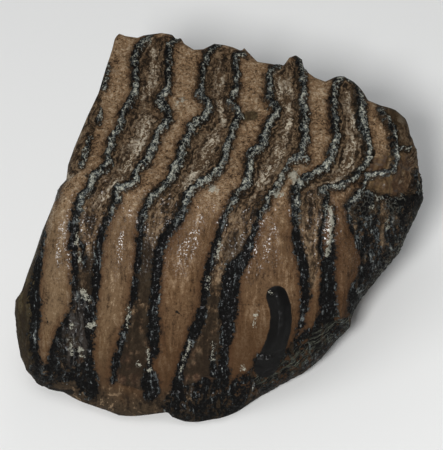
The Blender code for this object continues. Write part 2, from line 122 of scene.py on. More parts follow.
# %% The outline, clockwise from the top left
OUTLINE = [
    (-17.1, 32.1), (-16, 31.5), (-14, 31.2), (-13, 31.6), (-10, 32.1), (-8.2, 31.7),
    (-7.5, 30.9), (-6.8, 31.2), (-6.2, 30.2), (-4.6, 29.2), (-3, 29.3), (-1.2, 30.2),
    (0.5, 30.0), (2, 29.6), (3.3, 29.0), (3.8, 29.5), (4.7, 28.5), (6, 27.2),
    (8, 26.9), (10.3, 26.5), (11.3, 27.9), (12.4, 28.3), (13.4, 27.6), (13.8, 25.9),
    (15.5, 24.6), (17.3, 23.9), (18.8, 24.6), (20.5, 25.2), (22.3, 24.1), (23.9, 21.7),
    (24.4, 20.8), (26.6, 19.9), (29.1, 19.3), (30.8, 17.9), (31.7, 15), (33.2, 12.8),
    (34, 10.8), (34.1, 8), (33.8, 4), (32.8, 1.5), (31.2, -1.5), (29.7, -4.7),
    (27.4, -7.2), (24.8, -10.2), (23.2, -12), (21.9, -14.2), (21.3, -17), (18.9, -19.2),
    (16.4, -22.2), (13.6, -24.5), (9.8, -26.4), (6.4, -28.5), (3.9, -30.3), (1.7, -31.9),
    (0.1, -33), (-3.6, -33.2), (-6.1, -32.8), (-8.2, -32), (-9, -31.2), (-12.8, -31.7),
    (-17.2, -32.2), (-19.4, -31.3), (-21.5, -30.7), (-23.4, -30.1), (-25.2, -29), (-26.4, -28.1),
    (-28.9, -27.7), (-30.8, -26.3), (-32.7, -24.2), (-33.8, -21.8), (-34.4, -19.1), (-34.9, -14.8),
    (-34.8, -12.5), (-33.5, -10.8), (-32.4, -8), (-31.2, -5), (-29.8, -0.8), (-28.7, 1.8),
    (-27.5, 4.8), (-26.9, 6.5), (-25.9, 7.6), (-25.6, 10), (-24.5, 13), (-22.4, 18),
    (-20.5, 22), (-19.3, 26), (-18.3, 29), (-17.8, 31),
]
print(len(OUTLINE), "points in the outline")

# %% The enamel walls: the middle line, and the width at some heights
WALLS = {
    "plate_0_right_a": (
        [(-18.9, 26.5), (-19.4, 24.4), (-19.6, 22.9)],
        [(26, 0.8)]),
    "plate_0_right_b": (
        [(-20.2, 18.9), (-20.6, 17)],
        [(18, 0.8)]),
    "plate_0_right_c": (
        [(-21.9, 14.5), (-23, 11), (-23.3, 10)],
        [(12, 0.8)]),
    "plate_0_right_d": (
        [(-27.2, 5.7), (-27.6, 4.3)],
        [(5, 0.6)]),
    "plate_0_right": (
        [(-29.4, -0.6), (-30, -4), (-30.8, -8), (-31.3, -11), (-31.2, -13.5), (-31, -16),
         (-31.4, -18), (-31.3, -20.5), (-30.8, -23), (-29.9, -25.2), (-27.6, -25.9),
         (-25, -25.8), (-23, -25.4)],
        [(0, 0.5), (-8, 1.5), (-13, 2.3), (-16, 1.9), (-20, 1.9), (-24, 1.5), (-26, 1.2)]),
    "plate_1_left": (
        [(-12, 31.5), (-13.3, 30.3), (-14.2, 28.8), (-14.6, 27.5), (-14.4, 25.5),
         (-14.3, 23.2), (-14.5, 21.8), (-15.1, 20.7), (-16, 19.2), (-16.7, 18.1),
         (-16.9, 16.6), (-17.5, 15.4), (-18.4, 14), (-18.7, 12.4), (-19.3, 11.5),
         (-18.9, 10.8), (-19.4, 9.3), (-20.4, 8.8), (-21.6, 8), (-21.5, 7.1),
         (-22.2, 5.9), (-23.5, 4.5), (-24, 2.3), (-24.5, 0.3), (-24.8, -2.7),
         (-24.5, -5), (-24.4, -12), (-24.6, -13.8), (-25.4, -15.3), (-26.3, -16.8),
         (-27.3, -18.6), (-27.9, -20.5), (-28.2, -22.5), (-28.5, -24.6)],
        [(32, 1.2), (8, 1.3), (0, 1.9), (-8, 1.3), (-14, 1.5), (-18, 1.4), (-25, 1.6)]),
    "plate_1_inner": (
        [(-23.6, -2.6), (-23, -5), (-22.8, -7.2)],
        [(-5, 1.0)]),
    "plate_1_neck": (
        [(-22.8, -12.4), (-23.2, -14.2), (-23.9, -16.2)],
        [(-12, 2.6), (-14, 3.4), (-16, 3.6)]),
    "plate_1_right": (
        [(-7.6, 31), (-8.3, 30.3), (-8.9, 29.5), (-8.9, 22.8), (-9.3, 21.9),
         (-10.4, 21.2), (-10.4, 20.5), (-9.6, 19.8), (-8.8, 19), (-8.7, 17.6),
         (-9.4, 16.7), (-10.5, 15.6), (-10.8, 14.3), (-11.6, 12.5), (-12.2, 11.6),
         (-12.3, 10.7), (-13.5, 9.8), (-14.3, 8.7), (-14.4, 7.4), (-15.1, 6.6),
         (-17, 6.4), (-17.8, 5.6), (-17.3, 4), (-18, 3), (-18.8, 1.5), (-19.6, -0.3),
         (-20.3, -2.4), (-20.5, -5), (-20.9, -7.5), (-21.1, -12), (-21.6, -14),
         (-22, -18), (-22.7, -20), (-22.5, -22), (-22, -24), (-21.7, -28)],
        [(32, 1.2), (0, 1.4), (-8, 1.6), (-12, 1.5), (-18, 1.8), (-20, 2.6), (-22, 1.5),
         (-26, 2.0)]),
    "plate_2_left": (
        [(-0.5, 29.9), (-1.5, 29.6), (-2.3, 28.6), (-2.9, 26.8), (-3.3, 24.8),
         (-3.3, 23), (-3.7, 21.6), (-3, 20.9), (-2.2, 20), (-2.2, 18.9), (-3.1, 17.6),
         (-4.6, 17), (-5.2, 16.5), (-5.1, 15.3), (-6, 14.2), (-6.6, 12.8), (-6.8, 11.5),
         (-7.2, 10.3), (-8.1, 9.2), (-8.1, 8.3), (-9, 7), (-10.3, 5.9), (-11.3, 5.1),
         (-12.1, 4), (-12.8, 2.6), (-13.3, 1), (-13.7, -3.5), (-13.9, -6), (-14.3, -8),
         (-14.6, -12), (-15.4, -14), (-15.9, -17), (-17.1, -21), (-18.2, -26)],
        [(30, 1.2), (12, 1.4), (0, 1.5), (-8, 1.2), (-12, 1.3), (-14.5, 0.9), (-18, 1.4),
         (-22, 1.6), (-26, 1.2)]),
    "plate_2_right": (
        [(3.9, 28.4), (3, 28.5), (2.4, 28.3), (2.3, 26.5), (2.5, 24.5), (2.5, 23.2),
         (2.2, 21.9), (1.3, 20.3), (2, 19.7), (2.8, 18.8), (2.8, 17.6), (1.9, 16.2),
         (1.5, 14.3), (0.7, 12.5), (0.3, 11.3), (0.4, 10.5), (-0.2, 9.6), (-1.3, 8.5),
         (-2.5, 7.4), (-3.6, 6.9), (-4.8, 6.1), (-5.6, 5.2), (-6, 4), (-6.2, 3),
         (-6.7, 2), (-8, -0.2), (-9, -1.4), (-9.8, -2.8), (-10.4, -4.6),
         (-10.8, -8), (-11.2, -13), (-11.2, -19), (-11.2, -21), (-11.9, -22.7),
         (-12.1, -24), (-11.9, -26), (-11.7, -28)],
        [(30, 1.1), (10, 1.3), (4, 1.6), (0, 2.0), (-5, 1.8), (-14, 2.0), (-19, 2.3),
         (-22.7, 1.2), (-24, 1.4), (-26, 3.2), (-28, 3.0)]),
    "plate_3_left": (
        [(9.4, 26.6), (8.6, 26.2), (8, 25.2), (7.9, 23.5), (8.2, 22.3), (7.6, 21.2),
         (8.2, 20.4), (9.3, 19.2), (9.1, 18.2), (7.8, 16.9), (7.3, 15.5), (7.1, 14.3),
         (6.1, 12.8), (5.2, 12), (4.6, 11.2), (4.6, 10.2), (4.3, 7.2), (3.6, 6.1),
         (2.5, 5.3), (2.1, 4.2), (1.3, 2.9), (-0.1, 0), (-0.5, -2), (-1, -4),
         (-2.2, -7.2), (-2.5, -9), (-3, -13), (-3.4, -15), (-4.1, -17), (-5.7, -20.7),
         (-6.4, -22.7), (-7.3, -26.5), (-7.4, -28.5)],
        [(26, 1.2), (12, 1.5), (3, 1.2), (-8, 1.6), (-13, 1.6), (-17, 2.3), (-20, 1.7),
         (-24, 1.6), (-28, 2.4)]),
    "plate_3_right": (
        [(12.9, 27.8), (13.3, 26.5), (13.7, 21.8), (13.2, 20.3), (13.8, 18.7),
         (13.7, 16.5), (14, 14.5), (13.4, 12), (12.8, 11.1), (11.3, 10.3), (10.8, 9.2),
         (10.2, 8.1), (9, 6.3), (8.5, 5.3), (7.6, 4.8), (7.5, 4.1), (7.7, 3.6),
         (7.1, 2.9), (6.3, 2.2), (5.8, 0), (4.9, -2.4), (4.1, -5), (3, -6.4),
         (2.1, -7.6), (1.6, -9), (1.1, -13), (1.1, -17), (0.5, -20), (0.3, -23),
         (0, -26)],
        [(27, 1.4), (13, 1.4), (8, 0.9), (4, 1.2), (-3, 1.5), (-5, 2.0), (-7.5, 3.3),
         (-14, 3.3), (-18, 2.5), (-20, 1.8), (-23, 1.8), (-26, 3.5)]),
    "plate_3_spur": (
        [(12.8, 11.1), (14.4, 10.8)],
        [(11, 1.1)]),
    "plate_3_split": (
        [(-1.4, -20), (-1.5, -22), (-1.2, -25)],
        [(-20, 0.8), (-25, 1.6)]),
    "plate_4_left": (
        [(20.2, 24.8), (19.3, 24.3), (18.8, 22.5), (18.6, 20.3), (18.9, 16),
         (19.1, 14.3), (18.4, 12.5), (18.1, 10.8), (17.4, 9.7), (15.6, 8.5),
         (13.9, 7.5), (12.5, 6.3), (12.3, 4.5), (12.3, 2), (12.5, -2), (12.9, -4),
         (13.5, -6), (13.9, -10), (14.1, -12), (13.5, -16), (12.3, -19.3)],
        [(25, 1.2), (8, 1.5), (3, 1.6), (-2, 1.5), (-5, 2.1), (-12, 1.7), (-16, 1.1),
         (-19, 0.7)]),
    "plate_4_right": (
        [(21.3, 24.4), (22.3, 23.5), (22.9, 22.4), (23.2, 20.5), (23.2, 18), (23.5, 16),
         (24.2, 14.4), (24.5, 12.5), (24.4, 10.9), (23.3, 9.5), (22.5, 8.6), (22, 7.6),
         (20.5, 7), (19, 6.3), (17.4, 6.3), (16.6, 5.9), (17.6, 4.9), (17.3, 3.2),
         (16.9, 0), (16.5, -3.2), (16.8, -5)],
        [(24, 1.2), (20, 1.8), (16, 1.7), (12, 1.3), (6, 1.1), (3, 1.1), (0, 0.8),
         (-4, 1.2)]),
    "plate_4_right_lower": (
        [(18.6, 3), (18.7, 0), (18.5, -3.4), (17.7, -5.8), (17.8, -8), (17.9, -14),
         (17.6, -16), (16.6, -19)],
        [(3, 0.7), (-3, 0.9), (-5.5, 2.9), (-8, 2.3), (-11, 3.1), (-15, 3.4), (-18, 4)]),
    "plate_5_left": (
        [(26.5, 19.5), (26.8, 18.5), (27.9, 16.8), (28.7, 15.4), (28.7, 11), (28.3, 8.8),
         (27, 8.3), (25, 8.3), (23.7, 8.1), (23.5, 6.2), (22.3, 4.8), (21.1, 3.5),
         (21, 2), (21.6, 0), (23.3, -4), (23.9, -6), (23.7, -8), (22.6, -10.4),
         (22, -12.5), (21.5, -14.5)],
        [(20, 1.0), (6, 1.2), (-6, 1.0), (-8, 1.3), (-11, 2.4), (-14, 1.4)]),
    "plate_5_branch": (
        [(28.7, 12.8), (30, 12.9), (31, 12.6)],
        [(13, 0.8)]),
    "plate_5_rim": (
        [(32.9, 8.2), (32.9, 6), (33.2, 4.6), (33.4, 3.2)],
        [(8, 0.9), (6, 1.7)]),
    "plate_5_crack": (
        [(24, 5.5), (25, 5), (26.5, 4.7), (28, 4.5)],
        [(5, 0.8)]),
}
print(len(WALLS), "walls, drawn with", sum(len(path) for path, widths in WALLS.values()), "points")

# %% [markdown]
# ## Bare enamel, the digit, crust, streaks and cracks
#
# Bare enamel is left where cement and dentine have come off. The digit is a finger-like
# enamel point that stands alone in the cement. Chips are specks of pale mineral crust, and
# pale strips are thin lines of it; the last chip, on the digit's top, is a painted highlight.
# A pale streak runs along each trough. The fringe is the frayed grey edge of the bare enamel.
# They could be painted on, but here each one is an outline, a path or a spot on the same
# sheet, so it can be moved or left out by itself.

# %% Bare enamel, the digit and chips
BARE_ENAMEL = [
    [(21.4, 3.2), (24, 5), (26, 4.4), (26.2, -4), (27.4, -4.4), (27.6, 4.2), (31.8, 4.8),
     (34.5, 3), (33, -4), (24, -15.5), (21.2, -15.5), (22.3, -11), (23.6, -6), (22, -1)],
    [(-8.6, -28.4), (-6, -27), (-4.6, -26.6), (-2.3, -25.6), (1.7, -26.4), (3.1, -24.9),
     (4.8, -24.8), (6, -21.5), (11, -20.6), (12.4, -19.4), (14.2, -17.6), (19.4, -15.8),
     (21, -15.6), (22, -18), (10, -28), (0, -34.5), (-8, -34.5), (-9.8, -30)],
    [(-23.9, -10.8), (-21.9, -12.5), (-21.1, -17.5), (-21.8, -21.7), (-20.8, -25),
     (-20.6, -28.3), (-22.2, -29), (-23.6, -27.2), (-25.2, -26.2), (-27.2, -26),
     (-28.9, -26.8), (-30.8, -26.5), (-31.8, -24.2), (-31.1, -22.2), (-29.2, -23.5),
     (-28.1, -21.2), (-26.9, -18.3), (-26.2, -16.2), (-24.9, -13.5)],
]
DIGIT = [(9.2, -11.8), (9.8, -13.6), (9.9, -15.6), (9.7, -17.6), (9.1, -19.5),
         (8.2, -21.6), (7.2, -23.6)]
DIGIT_WIDTH = 3.7
# The last chip, on the digit's top, is a painted highlight.
CHIPS_AND_GLINT = [(12.0, 8.3, 0.8), (12.4, 7.4, 0.7), (9.3, 5.2, 0.55), (10.1, 5.0, 0.35),
         (-1.5, 6.1, 0.6), (-0.9, 5.7, 0.4), (-7.3, 20.5, 0.4), (-6.5, 20.8, 0.4),
         (-23.2, -11.2, 0.45), (-22.7, -11.9, 0.5), (-22.2, -12.6, 0.4), (-21.9, -16.8, 0.5),
         (-21.4, -16.5, 0.35), (-24.9, -16.9, 0.35), (-23.6, -20.9, 0.4), (-23.4, -21.8, 0.35),
         (25.8, 4.5, 0.4), (25, 2.8, 0.35), (27.7, 0.6, 0.3), (27.9, -0.3, 0.3),
         (-13.9, -23.2, 0.35), (-12.1, -24.3, 0.35), (5.7, -14.6, 0.3), (3.4, -23.7, 0.4),
         (8.1, -11.2, 0.15)]
print(len(BARE_ENAMEL), "bare areas,", len(CHIPS_AND_GLINT), "chips")

# %% Pale strips, streaks, cracks and the fringe: each is a path and its width
PALE_STRIPS = [
    ([(18.1, 2.8), (18.3, 0), (18, -3), (17.7, -5)], 0.7),
    ([(-0.3, -2.7), (-0.8, -5.4)], 0.45),
    ([(-2.2, -8.8), (-2.5, -10.5)], 0.3),
    ([(-24.1, -1.4), (-24.1, -3.3)], 0.4),
    ([(-23.8, -4.7), (-23.7, -6.3)], 0.3),
    ([(-15.4, -13.6), (-15.8, -17)], 0.35),
    ([(-12.4, -20.8), (-12.1, -24.2)], 0.3),
    ([(5.7, -15), (5.6, -17)], 0.2),
    ([(-5.3, -19.5), (-7, -25)], 0.25),
    ([(-1.4, -20), (-1.5, -22.5)], 0.3),
    ([(-25.2, -19), (-25.1, -21.5)], 0.35),
]
STREAKS = [
    ([(-11.6, 30.5), (-11.4, 27.5), (-11.4, 25), (-12.2, 23.2), (-13.1, 21.8)], 0.7),
    ([(-12.6, 18), (-12.2, 16.5), (-13.1, 15.2), (-13.9, 13.3), (-14.9, 11.8)], 1.2),
    ([(-14.9, 11.8), (-15.9, 10), (-16.9, 8.5), (-17.8, 7.5), (-19.2, 5.3), (-20.8, 3)], 1.0),
    ([(-0.4, 25.8), (-0.1, 24.2), (-0.6, 21.7), (0.1, 19.2), (0.2, 17.5)], 0.6),
    ([(-1.1, 15), (-2.2, 13.2), (-2.9, 11.3), (-3.9, 10.2), (-4.8, 8.3), (-5.9, 6.7)], 1.2),
    ([(11.1, 23.3), (11.4, 21.7), (11.2, 19), (11.4, 17.5), (10.6, 16.2), (10.4, 14.8)], 0.8),
    ([(10.4, 14.8), (9.8, 13.2), (9.1, 11.3), (8.4, 10.2), (7.4, 8.5), (6.4, 7.2)], 1.2),
    ([(9.2, 25.5), (9.6, 22.8), (9.9, 20.8)], 0.6),
    ([(21.1, 22), (21.2, 20), (21.8, 18.3), (22.1, 14.3)], 0.8),
    ([(22.1, 14.3), (21.4, 12.5), (21.1, 11.3), (21.4, 10.2), (20.1, 9.2), (18.1, 6.8)], 1.2),
    ([(22.6, 19.2), (23.2, 16.7), (23.4, 15)], 0.5),
]
CRACKS = [
    ([(-30.6, -11.6), (-30, -12.5), (-29.4, -13), (-29, -13)], 0.26),
    ([(-29.6, -14.6), (-29.1, -15.4), (-28.9, -16.5)], 0.26),
    ([(2.4, -13.3), (6.8, -13.2)], 0.2),
    ([(-7.5, -14.4), (-7, -14.6)], 0.45),
    ([(-29.3, -27.1), (-27.6, -27.7), (-26, -27.9), (-24.9, -27.7)], 0.9),
    ([(25.4, 12.3), (25.4, 11.8)], 0.6),
]
FRINGE = [([(20.6, -15.6), (14.8, -20.4), (11.2, -23.4), (6.4, -25.4)], 2.2)]
print(len(PALE_STRIPS), "pale strips,", len(STREAKS), "streaks,", len(CRACKS), "cracks")

# %% [markdown]
# ## Distances
#
# The form is worked out from distances, because distances are easy to blend: the larger of
# two of them is where two shapes overlap, and a round version of that gives a worn edge.
# Numpy works each one out for every point of the mesh at once.

# %% Helpers for distances
def smoothstep(low, high, value):
    share = np.clip((value - low) / (high - low), 0, 1)
    return share * share * (3 - 2 * share)


def round_max(first, second, radius):
    """The larger of two distances, with a round edge where they meet."""
    share = np.clip(0.5 + 0.5 * (first - second) / radius, 0, 1)
    return second + (first - second) * share + radius * share * (1 - share)


def segment_distance(u, w, start, end):
    """Distance to one straight piece of a line."""
    along_u = end[0] - start[0]
    along_w = end[1] - start[1]
    length = along_u ** 2 + along_w ** 2
    share = np.clip(((u - start[0]) * along_u + (w - start[1]) * along_w) / length, 0, 1)
    return np.hypot(u - start[0] - share * along_u, w - start[1] - share * along_w)


def area_distance(u, w, outline):
    """Distance to a closed outline, less than 0 inside it."""
    nearest = np.full(u.shape, 1e3)
    inside = np.zeros(u.shape, bool)
    for start, end in zip(outline, outline[1:] + outline[:1]):
        nearest = np.minimum(nearest, segment_distance(u, w, start, end))
        if start[1] != end[1]:
            crossing = start[0] + (w - start[1]) * (end[0] - start[0]) / (end[1] - start[1])
            inside ^= ((start[1] > w) != (end[1] > w)) & (u < crossing)
    return np.where(inside, -nearest, nearest)


# %% Smooth lumps that are the same every time
TABLE_SIZE = 4096
KEY_STEPS = (73, 179, 283)   # they spread neighbouring corners over the table


def lumps(x, y, z, size, seed):
    """Values from -1 to 1 that swell and sink about once in size."""
    table = np.random.default_rng(seed).uniform(-1, 1, TABLE_SIZE)
    cell = [np.floor(axis / size).astype(int) for axis in (x, y, z)]
    part = [axis / size - corner for axis, corner in zip((x, y, z), cell)]
    part = [share * share * (3 - 2 * share) for share in part]
    total = 0
    for corner in range(8):
        step = (corner & 1, corner >> 1 & 1, corner >> 2)
        key = sum((cell[i] + step[i]) * KEY_STEPS[i] for i in range(3)) % TABLE_SIZE
        weight = 1
        for i in range(3):
            weight = weight * (part[i] if step[i] else 1 - part[i])
        total = total + weight * table[key]
    return total


def rough(x, y, z, sizes):
    """Lumps of several sizes together."""
    return sum(height * lumps(x, y, z, size, seed) for size, height, seed in sizes)


# %% [markdown]
# ## The plain form
#
# The block is what is left when several faces cut it: the worn chewing face, the side that
# falls to the front, the shoulders, the broken ends that follow the outline, the broken back
# and the resting face. Each one is a distance, and lumps make the broken ones uneven.

# %% Faces of the plain form
def to_sheet(x, y, z):
    """Place on the drawing sheet of a point over the floor."""
    z = z - SHEET_HEIGHT
    d = z * SINE - y * COSINE
    taper = 1 - d / SHEET_TAPER
    return x / taper, (y * SINE + z * COSINE) / taper, d


def face(place, normal, point):
    """Height of a place over a flat face through a point."""
    length = math.sqrt(sum(part * part for part in normal))
    return sum((value - at) * part / length
               for value, at, part in zip(place, point, normal))


def side_depth(u, w):
    return BEND_DEPTH - SIDE_BOW * (BEND - w) ** 2 - SIDE_CROWN * (u + 2) ** 2


def chewing_depth(w):
    return BEND_DEPTH - (w - BEND) * math.tan(math.radians(CHEWING_SLOPE))


def front_depth(u, w):
    return np.minimum(side_depth(u, w), chewing_depth(w))


# %% The faces together
def form(x, y, z):
    """Height over the piece's plain form: less than 0 inside it."""
    u, w, d = to_sheet(x, y, z)
    slope = math.radians(CHEWING_SLOPE)
    chewing = (w - BEND) * math.sin(slope) + (d - BEND_DEPTH) * math.cos(slope)
    front = round_max(d - side_depth(u, w), chewing, BEND_ROUND)
    for normal, point, radius in FRONT_CUTS:
        front = round_max(front, face((u, w, d), normal, point), radius)
    front = front + rough(x, y, z, FRONT_LUMPS)
    behind = np.maximum(front_depth(u, w) - HIDDEN_DEPTH - d, 0)
    ends = area_distance(u, w, OUTLINE) + WALL_DRAFT * behind
    ends = ends + smoothstep(0, FADE_DEPTH, behind) * (rough(x, y, z, END_LUMPS) + ENDS_INSET)
    lower = smoothstep(*SHOULDER_HEIGHTS, w)
    edge = EDGE_ROUND + lower * (SHOULDER_ROUND * smoothstep(*SHOULDER_REACH, np.abs(u)) + 0.5)
    whole = round_max(front, ends, edge)
    back = y - BACK_DISTANCE + BACK_LEAN * (z - SHEET_HEIGHT - x)
    for normal, point, radius in BACK_CUTS:
        back = round_max(back, face((x, y, z), normal, point), radius)
    back = back + smoothstep(*BACK_ROUGHENS, z) * rough(x, y, z, BACK_LUMPS)
    whole = round_max(whole, back, BACK_ROUND)
    hollow = BASE_HOLLOW * np.maximum(lumps(x, y, z * 0, HOLLOW_SIZE, 16) + 0.1, 0)
    return round_max(whole, hollow - z, FOOT_ROUND)


print("height of the sheet's zero over the form, in mm:",
      round(float(form(*np.array([[0.0], [0.0], [SHEET_HEIGHT]]))[0]), 2))


# %% [markdown]
# ## From the form to a mesh
#
# A finely cut block is shrunk onto the form along straight lines from its middle. That gives
# long faces near the corners, so a voxel remesh evens them out, and one more step settles
# every point back onto the form.

# %% Shrink a block onto the form
CUTS = 104                 # cuts along each edge of the block
BLOCK_HALF = (34, 29, 18)  # half its length, depth and height
BLOCK_MIDDLE = 15.0        # its middle over the floor
FAR_REACH = 70.0           # surely outside the form
HALVINGS = 26              # each one halves how far a point can be off
SKIN_STEP = 0.2            # side of the even faces, in mm


def placed(name, data):
    """A new object in the scene that shows some data."""
    thing = bpy.data.objects.new(name, data)
    bpy.context.scene.collection.objects.link(thing)
    return thing


def places_of(mesh):
    """The places of a mesh's points, one row for each."""
    place = np.empty(len(mesh.vertices) * 3, np.float32)
    mesh.vertices.foreach_get("co", place)
    return place.reshape(-1, 3).astype(float)


def set_places(mesh, place):
    mesh.vertices.foreach_set("co", place.astype(np.float32).ravel())
    mesh.update()


def finished(thing):
    """The mesh that an object's modifiers make, as a mesh of its own."""
    bpy.context.view_layer.update()
    seen = thing.evaluated_get(bpy.context.evaluated_depsgraph_get())
    mesh = bpy.data.meshes.new_from_object(seen)
    thing.modifiers.clear()
    thing.data = mesh
    return mesh


def shrunk_block():
    block = bmesh.new()
    bmesh.ops.create_cube(block, size=2)
    bmesh.ops.subdivide_edges(block, edges=block.edges[:], cuts=CUTS, use_grid_fill=True)
    mesh = bpy.data.meshes.new(NODE)
    block.to_mesh(mesh)
    block.free()
    corner = places_of(mesh) * BLOCK_HALF
    direction = corner / np.linalg.norm(corner, axis=1, keepdims=True)
    centre = np.array([CENTRE_X, CENTRE_Y, BLOCK_MIDDLE])
    near = np.zeros(len(direction))
    far = np.full(len(direction), FAR_REACH)
    for step in range(HALVINGS):
        middle = (near + far) / 2
        outside = form(*(centre + direction * middle[:, None]).T) > 0
        far = np.where(outside, middle, far)
        near = np.where(outside, near, middle)
    set_places(mesh, centre + direction * near[:, None])
    return mesh


# %% Even faces all over
tooth = placed("worn_tooth", shrunk_block())
remesh = tooth.modifiers.new("even faces", "REMESH")
remesh.mode = "VOXEL"
remesh.voxel_size = SKIN_STEP
remesh.use_smooth_shade = True
skin = finished(tooth)
print("even skin:", len(skin.vertices), "points")


# %% Settle the points onto the form
REACH = 0.02           # the slope is measured over this, in mm
MOST_SETTLING = 0.3
LEAST_STEEPNESS = 0.25


def settle(place):
    """Moves each point along the form's slope until its height over the form is 0."""
    height = form(*place.T)
    slope = np.stack([form(*(place + REACH * axis).T) - height for axis in np.eye(3)], 1) / REACH
    steep = np.maximum((slope ** 2).sum(1), LEAST_STEEPNESS)
    return place - slope * np.clip(height / steep, -MOST_SETTLING, MOST_SETTLING)[:, None]


place = settle(places_of(skin))
set_places(skin, place)
print("farthest from the form, in mm:", round(float(np.abs(form(*place.T)).max()), 3))

# %% [markdown]
# ## Where each point lies on the drawing
#
# Every point looks up its place on the sheet and keeps it as an attribute. The plates run
# right through the block, so the same drawing serves for the back, the ends and the
# underside. There it is bent by lumps, because no two cuts through a tooth look the same.

# %% Lay the drawing on the skin
STRAIGHT_DEPTH = 4     # down to this depth behind the front the drawing stays as it is
x, y, z = place.T
u, w, d = to_sheet(x, y, z)
behind = np.maximum(front_depth(u, w) - STRAIGHT_DEPTH - d, 0)
hidden = smoothstep(0, FADE_DEPTH, behind)
u = u - LEAN * behind + hidden * rough(x, y, z, SHIFT_U)
w = w + hidden * rough(x, y, z, SHIFT_W)


def keep(mesh, name, values, kind="FLOAT"):
    layer = mesh.attributes.new(name, kind, "POINT")
    key = "vector" if kind == "FLOAT_VECTOR" else "value"
    layer.data.foreach_set(key, np.asarray(values, np.float32).ravel())


keep(skin, "sheet", np.stack([u, w, u * 0], 1), "FLOAT_VECTOR")
keep(skin, "hidden", hidden)
keep(skin, "inner", smoothstep(-0.2, -RIM, area_distance(u, w, OUTLINE)))
print("share of the skin behind the front:", round(float(hidden.mean()), 2))

# %% [markdown]
# ## The drawing as geometry
#
# Geometry Nodes can ask any point for the nearest thing in another object. So each wall
# becomes a row of beads that know half its width, and each plate and each bare area becomes
# one flat face. These helpers are deleted once the pattern is carved.

# %% Beads along the walls, and flat faces for the areas
BEAD_STEP = 0.15


def bead_row(path, widths):
    """Beads along a path, each with half the band's width at its height."""
    path = np.array(path, float)
    run = np.r_[0, np.cumsum(np.hypot(*np.diff(path, axis=0).T))]
    at = np.linspace(0, run[-1], max(2, int(run[-1] / BEAD_STEP)))
    bead_u = np.interp(at, run, path[:, 0])
    bead_w = np.interp(at, run, path[:, 1])
    heights = [-height for height, width in widths]
    half = np.interp(-bead_w, heights, [width / 2 for height, width in widths])
    return np.stack([bead_u, bead_w, half], 1)


def bead_object(name, beads):
    mesh = bpy.data.meshes.new(name)
    mesh.from_pydata([(bead[0], bead[1], 0) for bead in beads], [], [])
    keep(mesh, "half", beads[:, 2])
    return placed(name, mesh)


def area_object(name, outlines):
    mesh = bpy.data.meshes.new(name)
    corners = [(u, w, 0) for outline in outlines for u, w in outline]
    ends = np.cumsum([0] + [len(outline) for outline in outlines])
    mesh.from_pydata(corners, [], [list(range(a, b)) for a, b in zip(ends, ends[1:])])
    return placed(name, mesh)


def bead_rows(paths):
    return np.concatenate([bead_row(path, [(0, width)]) for path, width in paths])


# %% The plates between the walls, and all the helpers
# The first and the last plate are broken, so their outlines run on past the piece.
plate_outlines = [WALLS[f"plate_{number}_left"][0] + WALLS[f"plate_{number}_right"][0][::-1]
                  for number in range(1, 5)]
plate_outlines.append(WALLS["plate_5_left"][0] + [(40, -14.5), (40, 19.5)])
plate_outlines.append([(-18.9, 26.5), (-19.6, 22.9), (-20.6, 17), (-23.3, 10), (-27.2, 5.7),
                       (-29.4, -0.6), (-30.8, -8), (-31.2, -16), (-31, -22), (-29.9, -25.2),
                       (-28, -36), (-44, -36), (-40, 30)])
wall_beads = np.concatenate([bead_row(*wall) for wall in WALLS.values()])
helpers = {
    "Walls": bead_object("wall_beads", wall_beads),
    "Digit": bead_object("digit_beads", bead_rows([(DIGIT, DIGIT_WIDTH)])),
    "Chips": bead_object("chip_beads", np.concatenate([CHIPS_AND_GLINT, bead_rows(PALE_STRIPS)])),
    "Streaks": bead_object("streak_beads", bead_rows(STREAKS)),
    "Cracks": bead_object("crack_beads", bead_rows(CRACKS)),
    "Fringe": bead_object("fringe_beads", bead_rows(FRINGE)),
    "Plates": area_object("plate_areas", plate_outlines),
    "Bare enamel": area_object("bare_areas", BARE_ENAMEL),
}
for name, helper in helpers.items():
    print(name, "-", len(helper.data.vertices), "points")

# %% [markdown]
# ## Writing nodes as sums
#
# A node tree for a long formula is hard to read as boxes and links. This small class wraps
# one output of a node, so that `1 - mask` or `height * 2` adds the Math node it needs, and
# `node` adds any other kind: its settings first, then the values or links of its inputs.
# Both the carving and the finish are written with it.

